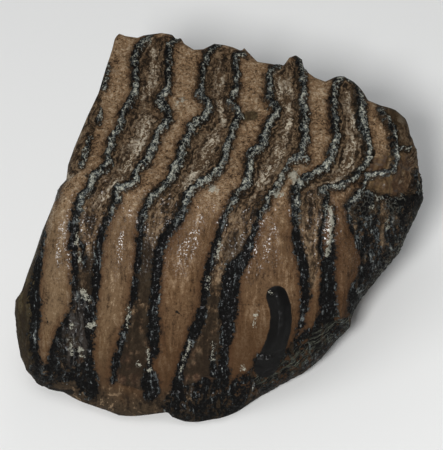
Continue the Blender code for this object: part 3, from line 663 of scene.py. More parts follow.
# %% A wire that can be added, taken off and multiplied
class Wire:
    def __init__(self, tree, socket=None):
        self.tree = tree
        self.socket = socket

    def node(self, kind, inputs, output=0, **settings):
        """Adds a node of a kind, and returns a wire from one of its outputs."""
        node = self.tree.nodes.new(kind)
        for name, value in settings.items():
            setattr(node, name, value)
        for key, value in inputs.items():
            if isinstance(value, Wire):
                self.tree.links.new(value.socket, node.inputs[key])
            else:
                node.inputs[key].default_value = value
        return Wire(self.tree, node.outputs[output])

    def math(self, operation, *values):
        return self.node("ShaderNodeMath", dict(enumerate(values)), operation=operation)

    def __add__(self, other):
        return self.math("ADD", self, other)

    __radd__ = __add__

    def __sub__(self, other):
        return self.math("SUBTRACT", self, other)

    def __rsub__(self, other):
        return self.math("SUBTRACT", other, self)

    def __mul__(self, other):
        return self.math("MULTIPLY", self, other)

    __rmul__ = __mul__

    def part(self, axis):
        """One of a vector's three numbers: 0, 1 or 2."""
        return self.node("ShaderNodeSeparateXYZ", {"Vector": self}, axis)

    def scaled(self, factor):
        inputs = {"Vector": self, "Scale": factor}
        return self.node("ShaderNodeVectorMath", inputs, operation="SCALE")

    def vector_by(self, operation, other):
        return self.node("ShaderNodeVectorMath", {0: self, 1: other}, operation=operation)

    def mix(self, first, second):
        """The first colour where this wire is 0, the second where it is 1."""
        inputs = {0: self, 6: first, 7: second}
        return self.node("ShaderNodeMix", inputs, 2, data_type="RGBA")

    def ramp(self, low, high, start=0.0, end=1.0):
        """Eases from start to end while this wire goes from low to high."""
        inputs = {"Value": self, "From Min": low, "From Max": high, "To Min": start, "To Max": end}
        return self.node("ShaderNodeMapRange", inputs, interpolation_type="SMOOTHSTEP")

    def noise(self, size, detail=2.0, rough=0.5, output=0, seed=None):
        """Noise about size across, read at this wire's place."""
        inputs = {"Vector": self, "Scale": 1 / size, "Detail": detail, "Roughness": rough}
        if seed is None:
            return self.node("ShaderNodeTexNoise", inputs, output)
        inputs["W"] = seed
        return self.node("ShaderNodeTexNoise", inputs, output, noise_dimensions="4D")

    def tones(self, *stops):
        """A colour that runs through stops, each one a value and a colour."""
        ramp = self.node("ShaderNodeValToRGB", {0: self})
        elements = ramp.socket.node.color_ramp.elements
        for element, (at, colour) in zip(elements, (stops[0], stops[-1])):
            element.position = at
            element.color = colour
        for at, colour in stops[1:-1]:
            elements.new(at).color = colour
        return ramp

    def root(self):
        return self.math("SQRT", self)

    def off_zero(self):
        return self.math("ABSOLUTE", self)

    def smaller(self, other):
        return self.math("MINIMUM", self, other)

    def larger(self, other):
        return self.math("MAXIMUM", self, other)


print("ways to go on from a wire:", [name for name in vars(Wire) if not name.startswith("_")])

# %% [markdown]
# ## Carving the pattern
#
# One Geometry Nodes tree measures each point against the drawing, keeps what it measured
# for the finish, and moves the point in or out. On the chewing face the enamel stands up and
# crinkles, and the dentine is worn to a trough. Down the side, the enamel lies a little lower
# than the smooth cement. All the sizes are named inputs, so the wear can be changed at once.

# %% Inputs of the carving tree
CARVING = {
    "Ridge height": 0.85,
    "Trough depth": 0.75,
    "Side groove": 0.30,
    "Side bulge": 0.45,
    "Seam depth": 0.45,
    "Wobble": 1.10,
    "Crinkle depth": 0.60,
    "Lump depth": 0.45,
    "Grain depth": 0.30,
    "Fibre depth": 0.12,
    "Digit height": 0.90,
    "Knob height": 0.60,
    "Crust height": 0.18,
    "Seed": 3.0,
}
carve = bpy.data.node_groups.new("carve plates", "GeometryNodeTree")
carve.interface.new_socket("Geometry", in_out="OUTPUT", socket_type="NodeSocketGeometry")
carve.interface.new_socket("Geometry", in_out="INPUT", socket_type="NodeSocketGeometry")
for name in helpers:
    carve.interface.new_socket(name, in_out="INPUT", socket_type="NodeSocketObject")
for name, value in CARVING.items():
    socket = carve.interface.new_socket(name, in_out="INPUT", socket_type="NodeSocketFloat")
    socket.default_value = value
carve.interface.new_socket("Finish", in_out="INPUT", socket_type="NodeSocketMaterial")
wire = Wire(carve)
entry = carve.nodes.new("NodeGroupInput")
given = {socket.name: Wire(carve, socket) for socket in entry.outputs if socket.name}
print("inputs of the carving tree:", list(given))


# %% Ways to measure a point against the drawing
def named(name, kind="FLOAT"):
    return wire.node("GeometryNodeInputNamedAttribute", {"Name": name}, data_type=kind)


def bead_gap(helper, spot):
    """Distance from a spot on the sheet to the edge of the nearest bead."""
    beads = wire.node("GeometryNodeObjectInfo", {"Object": given[helper]}, "Geometry")
    index = wire.node("GeometryNodeSampleNearest", {"Geometry": beads, "Sample Position": spot})
    centre = {"Geometry": beads, "Value": position, "Index": index}
    centre = wire.node("GeometryNodeSampleIndex", centre, data_type="FLOAT_VECTOR")
    half = {"Geometry": beads, "Value": named("half"), "Index": index}
    half = wire.node("GeometryNodeSampleIndex", half, data_type="FLOAT")
    return wire.node("ShaderNodeVectorMath", {0: spot, 1: centre}, 1, operation="DISTANCE") - half


def area_gap(helper, spot):
    """Distance from a spot on the sheet to an area, 0 inside it."""
    area = wire.node("GeometryNodeObjectInfo", {"Object": given[helper]}, "Geometry")
    inputs = {"Geometry": area, "Sample Position": spot}
    return wire.node("GeometryNodeProximity", inputs, "Distance", target_element="FACES")


# %% Measure every point against the walls, areas and paths
BEND_SPAN = (-2, 7)      # heights on the sheet, from the side up to the chewing face
BARE_SPREAD = 0.3        # bare enamel reaches this far past its outline
SIDE_STEP = (0.25, -0.25, 0)    # tells the two sides of a wall apart
position = wire.node("GeometryNodeInputPosition", {})
sheet = named("sheet", "FLOAT_VECTOR")
sheet_u = sheet.part(0)
sheet_w = sheet.part(1)
behind_front = named("hidden")
chewing = sheet_w.ramp(*BEND_SPAN)
chewing = chewing.larger(behind_front * 0.7)
shake = position.noise(1.0, 3, 0.65, "Color", given["Seed"]).vector_by("SUBTRACT", (0.5, 0.5, 0.5))
shake = shake.vector_by("MULTIPLY", (2, 2, 0)).scaled(given["Wobble"] * chewing.ramp(0, 1, 0.4, 1.1))
spot = sheet.vector_by("ADD", shake)
walls = bead_gap("Walls", spot)
plate = area_gap("Plates", spot)
bare = area_gap("Bare enamel", spot)
digit = bead_gap("Digit", sheet)
chip = bead_gap("Chips", sheet)
vein = bead_gap("Streaks", spot)
crack = bead_gap("Cracks", sheet)
fringe = bead_gap("Fringe", sheet)
enamel = walls.smaller(bare - BARE_SPREAD)
front_side = bead_gap("Walls", spot.vector_by("ADD", SIDE_STEP)) - walls
print("nodes that measure:", len(carve.nodes))

# %% [markdown]
# ## Knob, moss and stains
#
# The knob is a rounded lump of cement at the right. Dust, moss and brown stains sit in a
# few places only. Such spots could be painted, but a round spot with an uneven edge needs
# only a middle and two sizes, and can be used to lift the surface as well as to tint it.

# %% Spots on the sheet
uneven = position.noise(1.4, 3, 0.6, 0, given["Seed"] + 5) - 0.5
patches = position.noise(6, 3, 0.6, 0, given["Seed"] + 6)
side = (1 - chewing) * (1 - behind_front)


def round_spot(u, w, half_width, half_height, middle=0.8):
    """1 in the middle of a spot on the sheet, easing to 0 at its uneven edge."""
    across = (sheet_u - u) * (1 / half_width)
    up = (sheet_w - w) * (1 / half_height)
    return ((across * across + up * up).root() + uneven * 0.6).ramp(1.05, middle)


knob = round_spot(28.6, 8.6, 4.8, 3.9) * (1 - behind_front)
lump = round_spot(28.8, 8.6, 5.6, 4.6, 0.1)
moss = round_spot(4.7, 18.2, 1.5, 0.9) * (1 - behind_front)
dusty = round_spot(-24.4, -19, 2.2, 5).larger(round_spot(-23.4, -12, 1.6, 2.2)) * side
umber = round_spot(29.8, 18.4, 2.6, 2.2).larger(round_spot(31, 14.5, 2.4, 2.8) * 0.55)
umber = umber * (1 - behind_front)
print("nodes, with the spots:", len(carve.nodes))

# %% [markdown]
# ## Ridges, troughs and lumps
#
# Two heights are worked out for each point: `up` as if it lay on the chewing face, where
# teeth below have worn it, and `down` as if it lay on the side. They are blended at the
# bend. This could be sculpted by hand, but as a sum every wall gets the same wear, and a
# change of one input changes it all over.

# %% How far each point moves
FOOT_SPAN = (0.1, 1.6)   # the carving sets in over these heights above the floor
FIBRE_CARVING = (1.7, 0.16, 1)
STREAK_CARVING = (1.1, 0.35, 1)
band = enamel.ramp(0.05, -0.42)
inside = plate.ramp(0.15, 0)
rugged = bare.ramp(0.3, 0) * (1 - behind_front)
bulge = (1 - inside) * walls.ramp(0, 2.4)
dentine = inside * enamel.ramp(0.1, 1.2)
seam = enamel.ramp(-0.05, 0.1) * enamel.ramp(0.55, 0.2)
swell = position.noise(2.4, 2, 0.5, 0, given["Seed"] + 4) - 0.5
crinkle = position.noise(0.6, 2, 0.7, 0, given["Seed"]) - 0.5
grain = position.noise(0.7, 3, 0.7, 0, given["Seed"] + 1) - 0.5
along = spot.vector_by("MULTIPLY", FIBRE_CARVING)
fibre = along.noise(1, 2, 0.6, 0, given["Seed"] + 2) - 0.5
flow = spot.vector_by("MULTIPLY", STREAK_CARVING)
streak = flow.noise(1, 3, 0.6, 0, given["Seed"] + 3) - 0.5
up = band * given["Ridge height"] - dentine * given["Trough depth"] * (1 + streak * 2.0)
up = up - seam * given["Seam depth"] + band * crinkle * given["Crinkle depth"] * 2
up = up + (1 - band) * (grain * given["Grain depth"] * 2 + swell * given["Lump depth"] * 2)
down = dentine * -0.15 - band * given["Side groove"] + band * crinkle * given["Crinkle depth"] * 1.6
down = down + (1 - band) * (fibre * given["Fibre depth"] * 2 + grain * 0.2)
down = down + bulge * given["Side bulge"]
down = down + dentine * grain * 0.8 + swell * 0.2
down = down + rugged * (swell * 1.2 + streak * 0.8)
height = (down + (up - down) * chewing) * named("inner")
height = height + (up * 0.7 - 0.1 - height) * behind_front
dome = digit.ramp(0.2, -1.6) * (given["Digit height"] + given["Side groove"])
height = height + dome * sheet_w.ramp(-23, -18, 0.15, 1) * (1 - behind_front)
crust = chip.ramp(0.1, -0.4) * given["Crust height"]
foot = position.part(2).ramp(*FOOT_SPAN)
height = (height + crust + lump * given["Knob height"]) * foot
print("nodes, with the heights:", len(carve.nodes))

# %% [markdown]
# ## What the finish has to know
#
# Where the tooth is dark, pale, warm or polished follows the same drawing. So these places
# are worked out here once, and each is kept on the points under a name.

# %% Stains, worn places and painted shade that are wider than a grain
DARK_SPOTS = [((-12.7, -7.5, 1.9, 6), 1.0), ((2.4, -4.5, 2.4, 3.6), 0.7),
              ((-13.9, -24.3, 1.7, 2.6), 0.6), ((-23, -9, 1.9, 5), 0.7)]
POLISH_SETS_IN = (-11, -4)      # heights on the sheet
POLISH_ENDS = (13, 6)
warm = patches.ramp(0.40, 0.62) * 0.7 + side * sheet_w.ramp(-8, -24) * 0.5
pale = chewing * (vein + streak * 2 + uneven * 2).ramp(0.5, -0.3)
pale = pale.larger(inside * chewing * (enamel + streak * 4 + uneven * 3).ramp(1.5, 2.4) * 0.5)
dark = (patches + uneven * 2 + sheet_w.ramp(-3, -14) * 0.3).ramp(0.55, 0.80)
for stain, strength in DARK_SPOTS:
    dark = dark.larger(round_spot(*stain) * strength)
dark = dark * side * inside
olive = inside * sheet_u.ramp(-29.5, -31) * side
polish = sheet_w.ramp(*POLISH_SETS_IN) * sheet_w.ramp(*POLISH_ENDS) * (1 - behind_front)
# The foot of the side: its own dark crumbly ground, with painted shade where the side curves away at
# the bottom.
under = (sheet_w + uneven * 6 + patches * 5 - sheet_u.ramp(-18, -24) * 4).ramp(-23, -28) * side
print("nodes, with the stains:", len(carve.nodes))

# %% Keep the measures, then move the points
geometry = given["Geometry"]
measures = {"enamel": enamel, "dentine": inside, "chewing": chewing, "digit": digit,
            "chip": chip, "warm": warm, "pale": pale, "dark": dark, "knob": knob,
            "olive": olive.larger(moss), "uneven": uneven, "polish": polish, "under": under,
            "rugged": rugged, "rim": front_side.ramp(-0.25, 0.25), "crack": crack,
            "fringe": fringe, "dusty": dusty, "umber": umber, "patches": patches}
for name, value in measures.items():
    inputs = {"Geometry": geometry, "Name": name, "Value": value}
    geometry = wire.node("GeometryNodeStoreNamedAttribute", inputs, data_type="FLOAT")
offset = wire.node("GeometryNodeInputNormal", {}).scaled(height)
geometry = wire.node("GeometryNodeSetPosition", {"Geometry": geometry, "Offset": offset})
geometry = wire.node("GeometryNodeRealizeInstances", {"Geometry": geometry})
inputs = {"Geometry": geometry, "Material": given["Finish"]}
geometry = wire.node("GeometryNodeSetMaterial", inputs)
leave = carve.nodes.new("NodeGroupOutput")
carve.links.new(geometry.socket, leave.inputs["Geometry"])
print("nodes in the carving tree:", len(carve.nodes))

# %% Run the tree, and keep only its result
finish = bpy.data.materials.new("fossil_tooth")
carver = tooth.modifiers.new("carve plates", "NODES")
carver.node_group = carve
values = {**helpers, **CARVING, "Finish": finish}
for socket in carve.interface.items_tree:
    if socket.name in values:
        carver[socket.identifier] = values[socket.name]
carved = finished(tooth)
for helper in helpers.values():
    bpy.data.meshes.remove(helper.data)
print("carved:", len(carved.vertices), "points; measures kept:",
      [layer.name for layer in carved.attributes if layer.name in measures])

# %% [markdown]
# ## Fewer triangles, in metres
#
# Plain ground doesn't need small faces. The Decimate modifier merges them where the surface
# is even and keeps them on the ridges. The measures are carried along with the points.

# %% Thin the mesh and put it in its place
MOST_TRIANGLES = 197000
FRONT_WEIGHT = 0.1     # the back gives up its faces before the front does
carved.calc_loop_triangles()
seen = np.empty(len(carved.vertices), np.float32)
carved.attributes["hidden"].data.foreach_get("value", seen)
yielding = tooth.vertex_groups.new(name="yielding")
yielding.add(list(range(len(seen))), FRONT_WEIGHT, "REPLACE")
yielding.add(np.flatnonzero(seen > 0.5).tolist(), 1.0, "REPLACE")
thinning = tooth.modifiers.new("fewer triangles", "DECIMATE")
thinning.ratio = MOST_TRIANGLES / len(carved.loop_triangles)
thinning.vertex_group = "yielding"
thinned = finished(tooth)
tooth.vertex_groups.clear()
place = places_of(thinned)
place[:, 2] = np.maximum(place[:, 2], 0)
set_places(thinned, (place - (CENTRE_X, CENTRE_Y, 0)) * MM)
thinned.shade_smooth()
thinned.name = "worn_tooth"
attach(tooth, "root")
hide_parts(NODE)
thinned.calc_loop_triangles()
print("kept:", len(thinned.loop_triangles), "triangles; measures kept:",
      [layer.name for layer in thinned.attributes if layer.name in measures])

# %% [markdown]
# ## The finish
#
# Four materials meet on this tooth, and minerals from the ground have stained each one.
# Cement is brown and grainy, and fibrous down the side. Dentine is darker, with a paler
# streak along the middle of each trough. Enamel is nearly black, and its worn edge is dusted
# with pale grains. The digit is smooth. A painted image would be one way to show them. Here
# each one is mixed from noise at the scale of its grain, and the kept measures say where
# one gives way to the next. Colours are given as shares of the light that comes back.

# %% The shader, and how it reads a kept measure
finish.use_nodes = True
shader = finish.node_tree.nodes["Principled BSDF"]
wire = Wire(finish.node_tree)


def measure(name, output="Fac"):
    return wire.node("ShaderNodeAttribute", {}, output, attribute_name=name)


# %% Grains of every size, and fibres down the side
GRAIN_SIZE = 0.55        # how far apart these are, in mm
DOT_SIZE = 0.24
BLOTCH_SIZE = 2.2
FIBRE_STRETCH = (2.2, 0.3, 1)
STRAND_STRETCH = (0.8, 0.16, 1)
spot = wire.node("ShaderNodeTexCoord", {}, "Object").scaled(1 / MM)
chewing = measure("chewing")
broad = measure("patches") - 0.5
grains = spot.noise(GRAIN_SIZE, 3, 0.65) - 0.5
dots = spot.noise(DOT_SIZE, 2, 0.6) - 0.5
bend = spot.noise(3, 1, 0.5, "Color").scaled(1.6)
along = measure("sheet", "Vector").vector_by("ADD", bend)
fibres = along.vector_by("MULTIPLY", FIBRE_STRETCH).noise(1, 2, 0.6) - 0.5
strands = along.vector_by("MULTIPLY", STRAND_STRETCH).noise(1, 2, 0.6) - 0.5
grit = grains * chewing.ramp(0, 1, 0.5, 1.2) + dots * chewing.ramp(0, 1, 0.35, 0.8) + 0.5
grit = grit + fibres * chewing.ramp(0, 1, 0.5, 0.3) + strands * chewing.ramp(0, 1, 0.45, 0.2)
grit = grit + measure("uneven") * chewing.ramp(0, 1, 0.35, 0.6) + broad * 0.35
height = along.part(1)
across = along.part(0)
# Low on the side the colour is darkened towards the foot: painted shade where the side curves away at
# the bottom, with a redder tone.
low = (height - across.ramp(-2, 6) * 5).ramp(-13, -25) * (1 - chewing)
enamel = measure("enamel")
beside = {"X": enamel * 2.6 + grains * 0.6, "Y": height * 0.3, "Z": broad * 5}
layers = wire.node("ShaderNodeCombineXYZ", beside).noise(1, 2, 0.6) - 0.5
blotches = spot.noise(BLOTCH_SIZE, 2, 0.6) - 0.5
print("nodes for the grain:", len(finish.node_tree.nodes))

# %% [markdown]
# ## Cement
#
# Cement is a bony filling between the plates. It is chalky where it was chewed on, and
# smooth and fibrous down the side, where it is bleached at the left. Near the foot it is
# darker and redder: a redder tone, and painted shade where the side curves away at the bottom.
# Towards the right it is darker, which is painted shade with a slight red tint, and beside
# the enamel it is darker and redder, partly painted shade. One ramp of tones along the grain
# gives its speckle. The bleached part and the painted shade at the right multiply that
# colour, so the grain shows through them.

# %% Tones of the cement
CEMENT = (0.087, 0.050, 0.025, 1)
CEMENT_WARM = (0.083, 0.044, 0.019, 1)
CEMENT_DARK = (0.028, 0.015, 0.007, 1)
CEMENT_RED_FOOT_SHADE = (0.042, 0.021, 0.009, 1)
CEMENT_EDGE_RED_AND_SHADE = (0.045, 0.021, 0.009, 1)
CEMENT_TOP = (0.190, 0.118, 0.063, 1)
CEMENT_CHALK = (0.330, 0.250, 0.165, 1)
CEMENT_PALE = (0.210, 0.142, 0.085, 1)
BLEACHING = (1.35, 1.53, 1.70)
# This darkens the side towards the right end and tints it slightly red: painted shade.
RIGHT_SHADE_TINT = (0.72, 0.68, 0.65)

# %% Cement from the chewing face down to the foot
grown = grit + layers * 0.35
cement = grown.tones((0.28, CEMENT_DARK), (0.47, CEMENT), (0.57, CEMENT), (0.78, CEMENT_PALE))
rusty = grit.tones((0.28, CEMENT_DARK), (0.49, CEMENT_WARM), (0.78, CEMENT_PALE))
worn = grit.tones((0.24, CEMENT_DARK), (0.44, CEMENT_TOP), (0.54, CEMENT_TOP), (0.72, CEMENT_CHALK))
cement = measure("warm").mix(cement, rusty)
cement = chewing.mix(cement, worn)
# Darker and redder towards the foot: painted shade and a redder tone.
cement = (low * 0.75).mix(cement, CEMENT_RED_FOOT_SHADE)
bleached = across.ramp(-8, -26) * (1 - chewing)
cement = bleached.mix(cement, cement.vector_by("MULTIPLY", BLEACHING))
# Darker towards the right end of the side: painted shade with a slight red tint.
right_shade = across.ramp(16, 20) * (1 - chewing)
cement = right_shade.mix(cement, cement.vector_by("MULTIPLY", RIGHT_SHADE_TINT))
# Beside the enamel the cement is darker and redder: a redder edge, and painted shade where it meets
# the enamel.
cement = (enamel.ramp(1.3, 0.1) * 0.6).mix(cement, CEMENT_EDGE_RED_AND_SHADE)
print("nodes, with the cement:", len(finish.node_tree.nodes))

# %% [markdown]
# ## Dentine
#
# Dentine fills each plate. It wears in thin layers that follow the enamel, so its noise is
# stretched along the walls. A paler streak runs down the middle of each trough, and on the
# side it is darker, with black stains in places.

# %% Tones of the dentine
DENTINE = (0.066, 0.040, 0.021, 1)
DENTINE_DARK = (0.012, 0.008, 0.0045, 1)
DENTINE_LIGHT = (0.160, 0.112, 0.068, 1)
DENTINE_PALE = (0.470, 0.420, 0.330, 1)
DENTINE_RED_FOOT_SHADE = (0.055, 0.028, 0.018, 1)

# %% Dentine, and where it meets the cement
flaky = (grit - 0.5) * chewing.ramp(0, 1, 1, 0.72) + layers * chewing.ramp(0, 1, 0.9, 1.5) + 0.5
flaky = flaky + (strands * 0.6 + grains * 0.5) * (1 - chewing)
dentine = flaky.tones((0.32, DENTINE_DARK), (0.52, DENTINE), (0.75, DENTINE_LIGHT))
light = flaky.tones((0.34, DENTINE), (0.48, DENTINE_LIGHT), (0.70, DENTINE_PALE))
dentine = (measure("pale") * 0.9).mix(dentine, light)
# Darker and redder towards the foot: painted shade and a redder tone.
dentine = (low * 0.5).mix(dentine, DENTINE_RED_FOOT_SHADE)
dentine = (measure("dark") * 0.9).mix(dentine, DENTINE_DARK)
colour = measure("dentine").mix(cement, dentine)
print("nodes, with the dentine:", len(finish.node_tree.nodes))

# %% [markdown]
# ## Stains, the knob and the foot
#
# The left end is olive, the top of the right end is umber, and the knob is a smooth brown,
# lighter on its left and darker on its right: painted light and shade. The foot is dark and
# crumbly, with painted shade where the side curves away at the bottom. Cracks are thin dark
# lines. They are only colour, because a crack this thin is a hairline to the eye.

# %% Tones of the stains, the knob and the foot
# This near-black brown is used for the cracks, for painted shade in the grooves beside the enamel,
# for the darkest grains of the foot and for the olive end low down.
SHADE_AND_CRACK_BLACK = (0.008, 0.006, 0.004, 1)
KNOB = (0.095, 0.058, 0.026, 1)
# The knob's dark tone is partly painted shade, and its pale tone is partly a painted highlight.
KNOB_DARK_AND_SHADE = (0.040, 0.020, 0.009, 1)
KNOB_PALE_AND_HIGHLIGHT = (0.190, 0.130, 0.070, 1)
OLIVE = (0.032, 0.022, 0.009, 1)
OLIVE_PALE = (0.070, 0.054, 0.026, 1)
UMBER = (0.030, 0.019, 0.009, 1)
# A brown for the foot: its own dark ground, with painted shade in it.
FOOT_BROWN_AND_SHADE = (0.032, 0.022, 0.013, 1)

# %% Lay them over the cement and dentine
colour = (measure("umber") * 0.8).mix(colour, UMBER)
olive = flaky.tones((0.30, UMBER), (0.50, OLIVE), (0.68, OLIVE_PALE))
olive = (height.ramp(-10, -15) * 0.6).mix(olive, SHADE_AND_CRACK_BLACK)
colour = (measure("olive") * 0.9).mix(colour, olive)
# The knob is lighter on its left and darker on its right: painted light and shade on a rounded lump,
# over its own brown streaks.
knob = strands + measure("uneven") * 0.4 + dots * 0.15 + broad * 0.4 + across.ramp(27, 32, 0.53, 0.36)
knob = knob.tones((0.38, KNOB_DARK_AND_SHADE), (0.52, KNOB), (0.70, KNOB_PALE_AND_HIGHLIGHT))
colour = (measure("knob") * 0.9).mix(colour, knob)
# The foot's dark crumbly grains, darkened further as painted shade where the side curves away at the
# bottom.
under = flaky.tones((0.30, SHADE_AND_CRACK_BLACK), (0.46, FOOT_BROWN_AND_SHADE), (0.66, FOOT_BROWN_AND_SHADE), (0.80, DENTINE_LIGHT))
colour = (measure("under") * 0.9).mix(colour, under)
colour = (measure("crack") + dots * 0.3).ramp(0.08, -0.08).mix(colour, SHADE_AND_CRACK_BLACK)
print("nodes, with the stains:", len(finish.node_tree.nodes))

# %% [markdown]
# ## Enamel
#
# Enamel is nearly black here. On the chewing face its edge is worn to slate grey, with pale
# wrinkles on it and black gaps between them. The edges of each band and the upper left side
# of each ridge stay near black: painted shade. The bare enamel low on the right has brown
# streaks, and a frayed grey fringe along its upper edge. The dust value says how worn a point
# is, less that painted shade, and one ramp turns it into a tone.

# %% Where enamel is, how dusty it is, and its painted shade
RAGGED_SIZE = 0.6
WAVY_SIZE = 1.3
ragged = spot.noise(RAGGED_SIZE, 3, 0.7) - 0.5
wavy = spot.noise(WAVY_SIZE, 1, 0.5) - 0.5
edge = enamel + 0.12 + ragged * chewing.ramp(0, 1, 1.9, 1.5) + wavy * chewing.ramp(0, 1, 1.0, 0.6)
enamel_mask = edge.ramp(0.07, -0.05)
# A near-black line is painted on the cement and dentine just beside the enamel: painted shade in the
# groove there.
seam_shade_mask = edge.ramp(0.0, 0.1) * edge.ramp(0.45, 0.15) * chewing.ramp(0, 1, 0.5, 0.9)
dust_and_shade = ragged * chewing.ramp(0, 1, -1.6, -2.4) + dots * chewing.ramp(0, 1, 0.8, 1.6)
dust_and_shade = dust_and_shade + measure("uneven") * 1.2 + fibres * chewing.ramp(0, 1, 2.0, 0)
dust_and_shade = dust_and_shade + chewing * 0.34
dust_and_shade = dust_and_shade + measure("rugged") * (height.ramp(-16, -8, -0.05, 0.12) - height.ramp(-1, 4) * 0.45)
dust_and_shade = dust_and_shade + (blotches * 1.2 - height.ramp(18, 27) * 0.22) * chewing + measure("dusty") * 0.15
# On the chewing face the lower right side of each wall gets more dust, a worn pale edge, and the
# upper left side gets less and stays near black: painted shade.
dust_and_shade = dust_and_shade + (measure("rim") - 0.5) * chewing * 0.5 - measure("hidden") * 0.28
# The edges of each band get less dust and stay near black: painted shade on the sides of the raised
# ridges.
dust_and_shade = dust_and_shade - enamel.ramp(-0.40, 0.0) * (1 - measure("rugged")) * chewing * 0.20
dust_and_shade = dust_and_shade - across.ramp(24.8, 27) * chewing * 0.12
print("nodes, with the dust:", len(finish.node_tree.nodes))

# %% Tones of the enamel
ENAMEL = (0.0024, 0.0022, 0.0020, 1)
ENAMEL_GREY = (0.036, 0.040, 0.040, 1)
ENAMEL_SLATE = (0.115, 0.127, 0.125, 1)
ENAMEL_PALE = (0.420, 0.415, 0.340, 1)
ENAMEL_BROWN = (0.040, 0.026, 0.014, 1)
FRINGE_GREY = (0.070, 0.073, 0.055, 1)
DUSTY_BROWN = (0.036, 0.029, 0.024, 1)

# %% Dust, wrinkles, brown streaks and the fringe
WRINKLE_SIZE = 0.9
GAP_SIZE = 0.75
FRINGE_TURN = -0.6       # radians
HAIR_STRETCH = (0.35, 5.5, 1)
coat = dust_and_shade.tones((0.18, ENAMEL), (0.40, ENAMEL_GREY), (0.62, ENAMEL_SLATE), (0.90, ENAMEL_PALE))
wrinkle = (spot.noise(WRINKLE_SIZE, 1, 0.5) - 0.5).off_zero().ramp(0.045, 0.005)
wrinkle = wrinkle * measure("rim") * chewing
gaps = (spot.noise(GAP_SIZE, 2, 0.5) - 0.5).off_zero().ramp(0.055, 0.02) * chewing
coat = (gaps * 0.65).mix(coat, ENAMEL)
coat = (wrinkle * (0.7 - measure("rugged") * 0.5)).mix(coat, ENAMEL_PALE)
coat = (measure("dusty") * (fibres + strands).ramp(-0.10, 0.10) * 0.7).mix(coat, DUSTY_BROWN)
brown = measure("rugged") * (1 - measure("dusty")) * (strands + grains * 0.2).ramp(0.06, 0.14)
brown = brown * across.ramp(-15, -10, 0.2, 1)
coat = (brown * 0.45).mix(coat, ENAMEL_BROWN)
slant = wire.node("ShaderNodeVectorRotate", {"Vector": along, "Angle": FRINGE_TURN})
hairs = slant.vector_by("MULTIPLY", HAIR_STRETCH).noise(1, 2, 0.6) - 0.5
frayed = (measure("fringe") + ragged * 3 + strands * 3).ramp(0.7, -0.8)
coat = (frayed * hairs.ramp(-0.04, 0.20)).mix(coat, FRINGE_GREY)
# Painted shade in the groove beside the enamel.
colour = seam_shade_mask.mix(colour, SHADE_AND_CRACK_BLACK)
colour = enamel_mask.mix(colour, coat)
print("nodes, with the enamel:", len(finish.node_tree.nodes))

# %% The smooth digit, chips and strips of crust, and a painted highlight on the digit's top
CRUST_AND_GLINT_PALE = (0.300, 0.290, 0.235, 1)
digit = (measure("digit") + ragged * 0.2).ramp(0.05, -0.15)
colour = digit.mix(colour, ENAMEL)
# The chips and strips are pale crust, but the chip on the digit's top is a painted highlight.
chips = (measure("chip") + ragged * 2.4 + dots * 1.2).ramp(0.1, -0.25)
colour = (chips * 0.8).mix(colour, CRUST_AND_GLINT_PALE)
print("nodes, with the crust:", len(finish.node_tree.nodes))

# %% [markdown]
# ## Gloss and relief
#
# The piece is dull, but tiny polished faces glint along the bend, on the knob and on the
# enamel. Roughness could show them, but they are small and sharp, so they are spots of a
# thin glossy coat. A bump gives the finest grain, which is too small to carve.

# %% Gloss and relief
GLINT_SIZE = 0.28
WET_SIZE = 0.5
DULLNESS = 0.85
SHEEN = 0.10
COAT_DULLNESS = 0.28
glint = (spot.noise(GLINT_SIZE, 1, 0.5) + broad * 0.2).ramp(0.52, 0.66) * measure("polish") * 0.6
wet = spot.noise(WET_SIZE, 2, 0.6).ramp(0.54, 0.60) * enamel_mask * (1 - chewing * 0.7) * 0.17
glint = glint * (1 - measure("dark") * 0.7)
gloss = (glint * (1 - enamel_mask * 0.8 - measure("dentine") * 0.3)).larger(wet)
gloss = gloss.larger(measure("knob") * 0.4).larger(digit * 0.12)
relief = grit * chewing.ramp(0, 1, 0.30, 0.40) + ragged * enamel_mask * -0.5
smooth = (measure("knob") * 0.8).larger(digit * 0.8).larger(glint * 0.6)
relief = relief * (1 - smooth)
bump = wire.node("ShaderNodeBump", {"Height": relief, "Distance": MM, "Strength": 1.0})
for name, source in (("Base Color", colour), ("Coat Weight", gloss), ("Normal", bump)):
    finish.node_tree.links.new(source.socket, shader.inputs[name])
shader.inputs["Roughness"].default_value = DULLNESS
shader.inputs["Specular IOR Level"].default_value = SHEEN
shader.inputs["Coat Roughness"].default_value = COAT_DULLNESS
print("nodes in the finish:", len(finish.node_tree.nodes))

# %% [markdown]
# ## The room and the camera
#
# The piece lies on its resting face on a plain pale table. A small key lamp stands beside
# the camera, a little to the left, so that it glints off the bend. A large soft lamp above
# on the left fills the shadows, and another one low behind lights the back. The camera
# looks down at the piece along the normal of the drawing sheet.

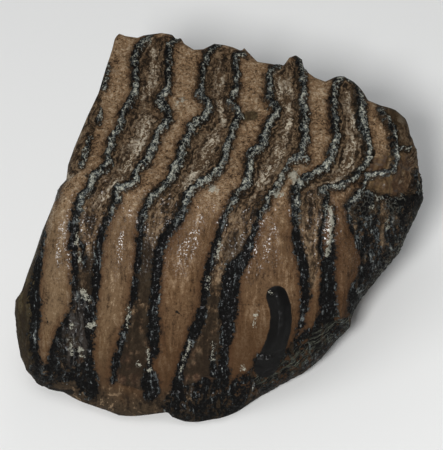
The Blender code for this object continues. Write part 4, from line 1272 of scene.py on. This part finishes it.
# %% The table
FLOOR_GAP = 0.00002    # keeps the table off the resting face, in metres
TABLE_HALF = 2
TABLE_WHITE = (0.78, 0.78, 0.77, 1)
table = bmesh.new()
bmesh.ops.create_grid(table, x_segments=1, y_segments=1, size=TABLE_HALF)
floor_mesh = bpy.data.meshes.new("table")
table.to_mesh(floor_mesh)
table.free()
floor = placed("table", floor_mesh)
floor.location.z = -FLOOR_GAP
matte = bpy.data.materials.new("table_paint")
matte.use_nodes = True
paint = matte.node_tree.nodes["Principled BSDF"]
paint.inputs["Base Color"].default_value = TABLE_WHITE
paint.inputs["Roughness"].default_value = 0.9
floor_mesh.materials.append(matte)
print("table side, in metres:", floor.dimensions.x)


# %% Lamps and the light of the room
ROOM_TINT = (0.9, 0.95, 1.0, 1)
ROOM_LIGHT = 0.14


def lamp(name, azimuth, elevation, distance, size, power):
    """A square lamp that points at the piece from an azimuth and elevation in degrees."""
    light = bpy.data.lights.new(name, "AREA")
    light.shape = "SQUARE"
    light.size = size
    light.energy = power
    thing = placed(name, light)
    side = math.radians(azimuth)
    rise = math.radians(elevation)
    way = Vector((math.sin(side) * math.cos(rise), -math.cos(side) * math.cos(rise),
                  math.sin(rise)))
    thing.location = way * distance
    thing.rotation_euler = way.to_track_quat("Z", "Y").to_euler()
    print(name, "lamp:", power, "watts")


lamp("key", azimuth=-10, elevation=38, distance=0.8, size=0.12, power=6.5)
lamp("fill", azimuth=-40, elevation=70, distance=1.0, size=0.8, power=2.5)
lamp("back", azimuth=160, elevation=28, distance=1.0, size=0.8, power=2.0)
room = bpy.data.worlds.new("room")
room.use_nodes = True
sky = room.node_tree.nodes["Background"]
sky.inputs["Color"].default_value = ROOM_TINT
sky.inputs["Strength"].default_value = ROOM_LIGHT
bpy.context.scene.world = room
bpy.context.scene.view_settings.view_transform = "Standard"

# %% The camera
CAMERA_DISTANCE = 0.45
SENSOR_WIDTH = 36      # of the lens, in mm
FOCAL_LENGTH = 216
lens = bpy.data.cameras.new("camera")
lens.sensor_width = SENSOR_WIDTH
lens.lens = FOCAL_LENGTH
lens.clip_start = 0.01
camera = placed("camera", lens)
sheet_zero = np.array([-CENTRE_X, -CENTRE_Y, SHEET_HEIGHT]) * MM
camera.location = sheet_zero + CAMERA_DISTANCE * np.array([0, -COSINE, SINE])
camera.rotation_euler = (math.radians(90 - TILT), 0, 0)
bpy.context.scene.camera = camera
print("the camera stands at, in mm:", [round(part / MM) for part in camera.location])

# %% [markdown]
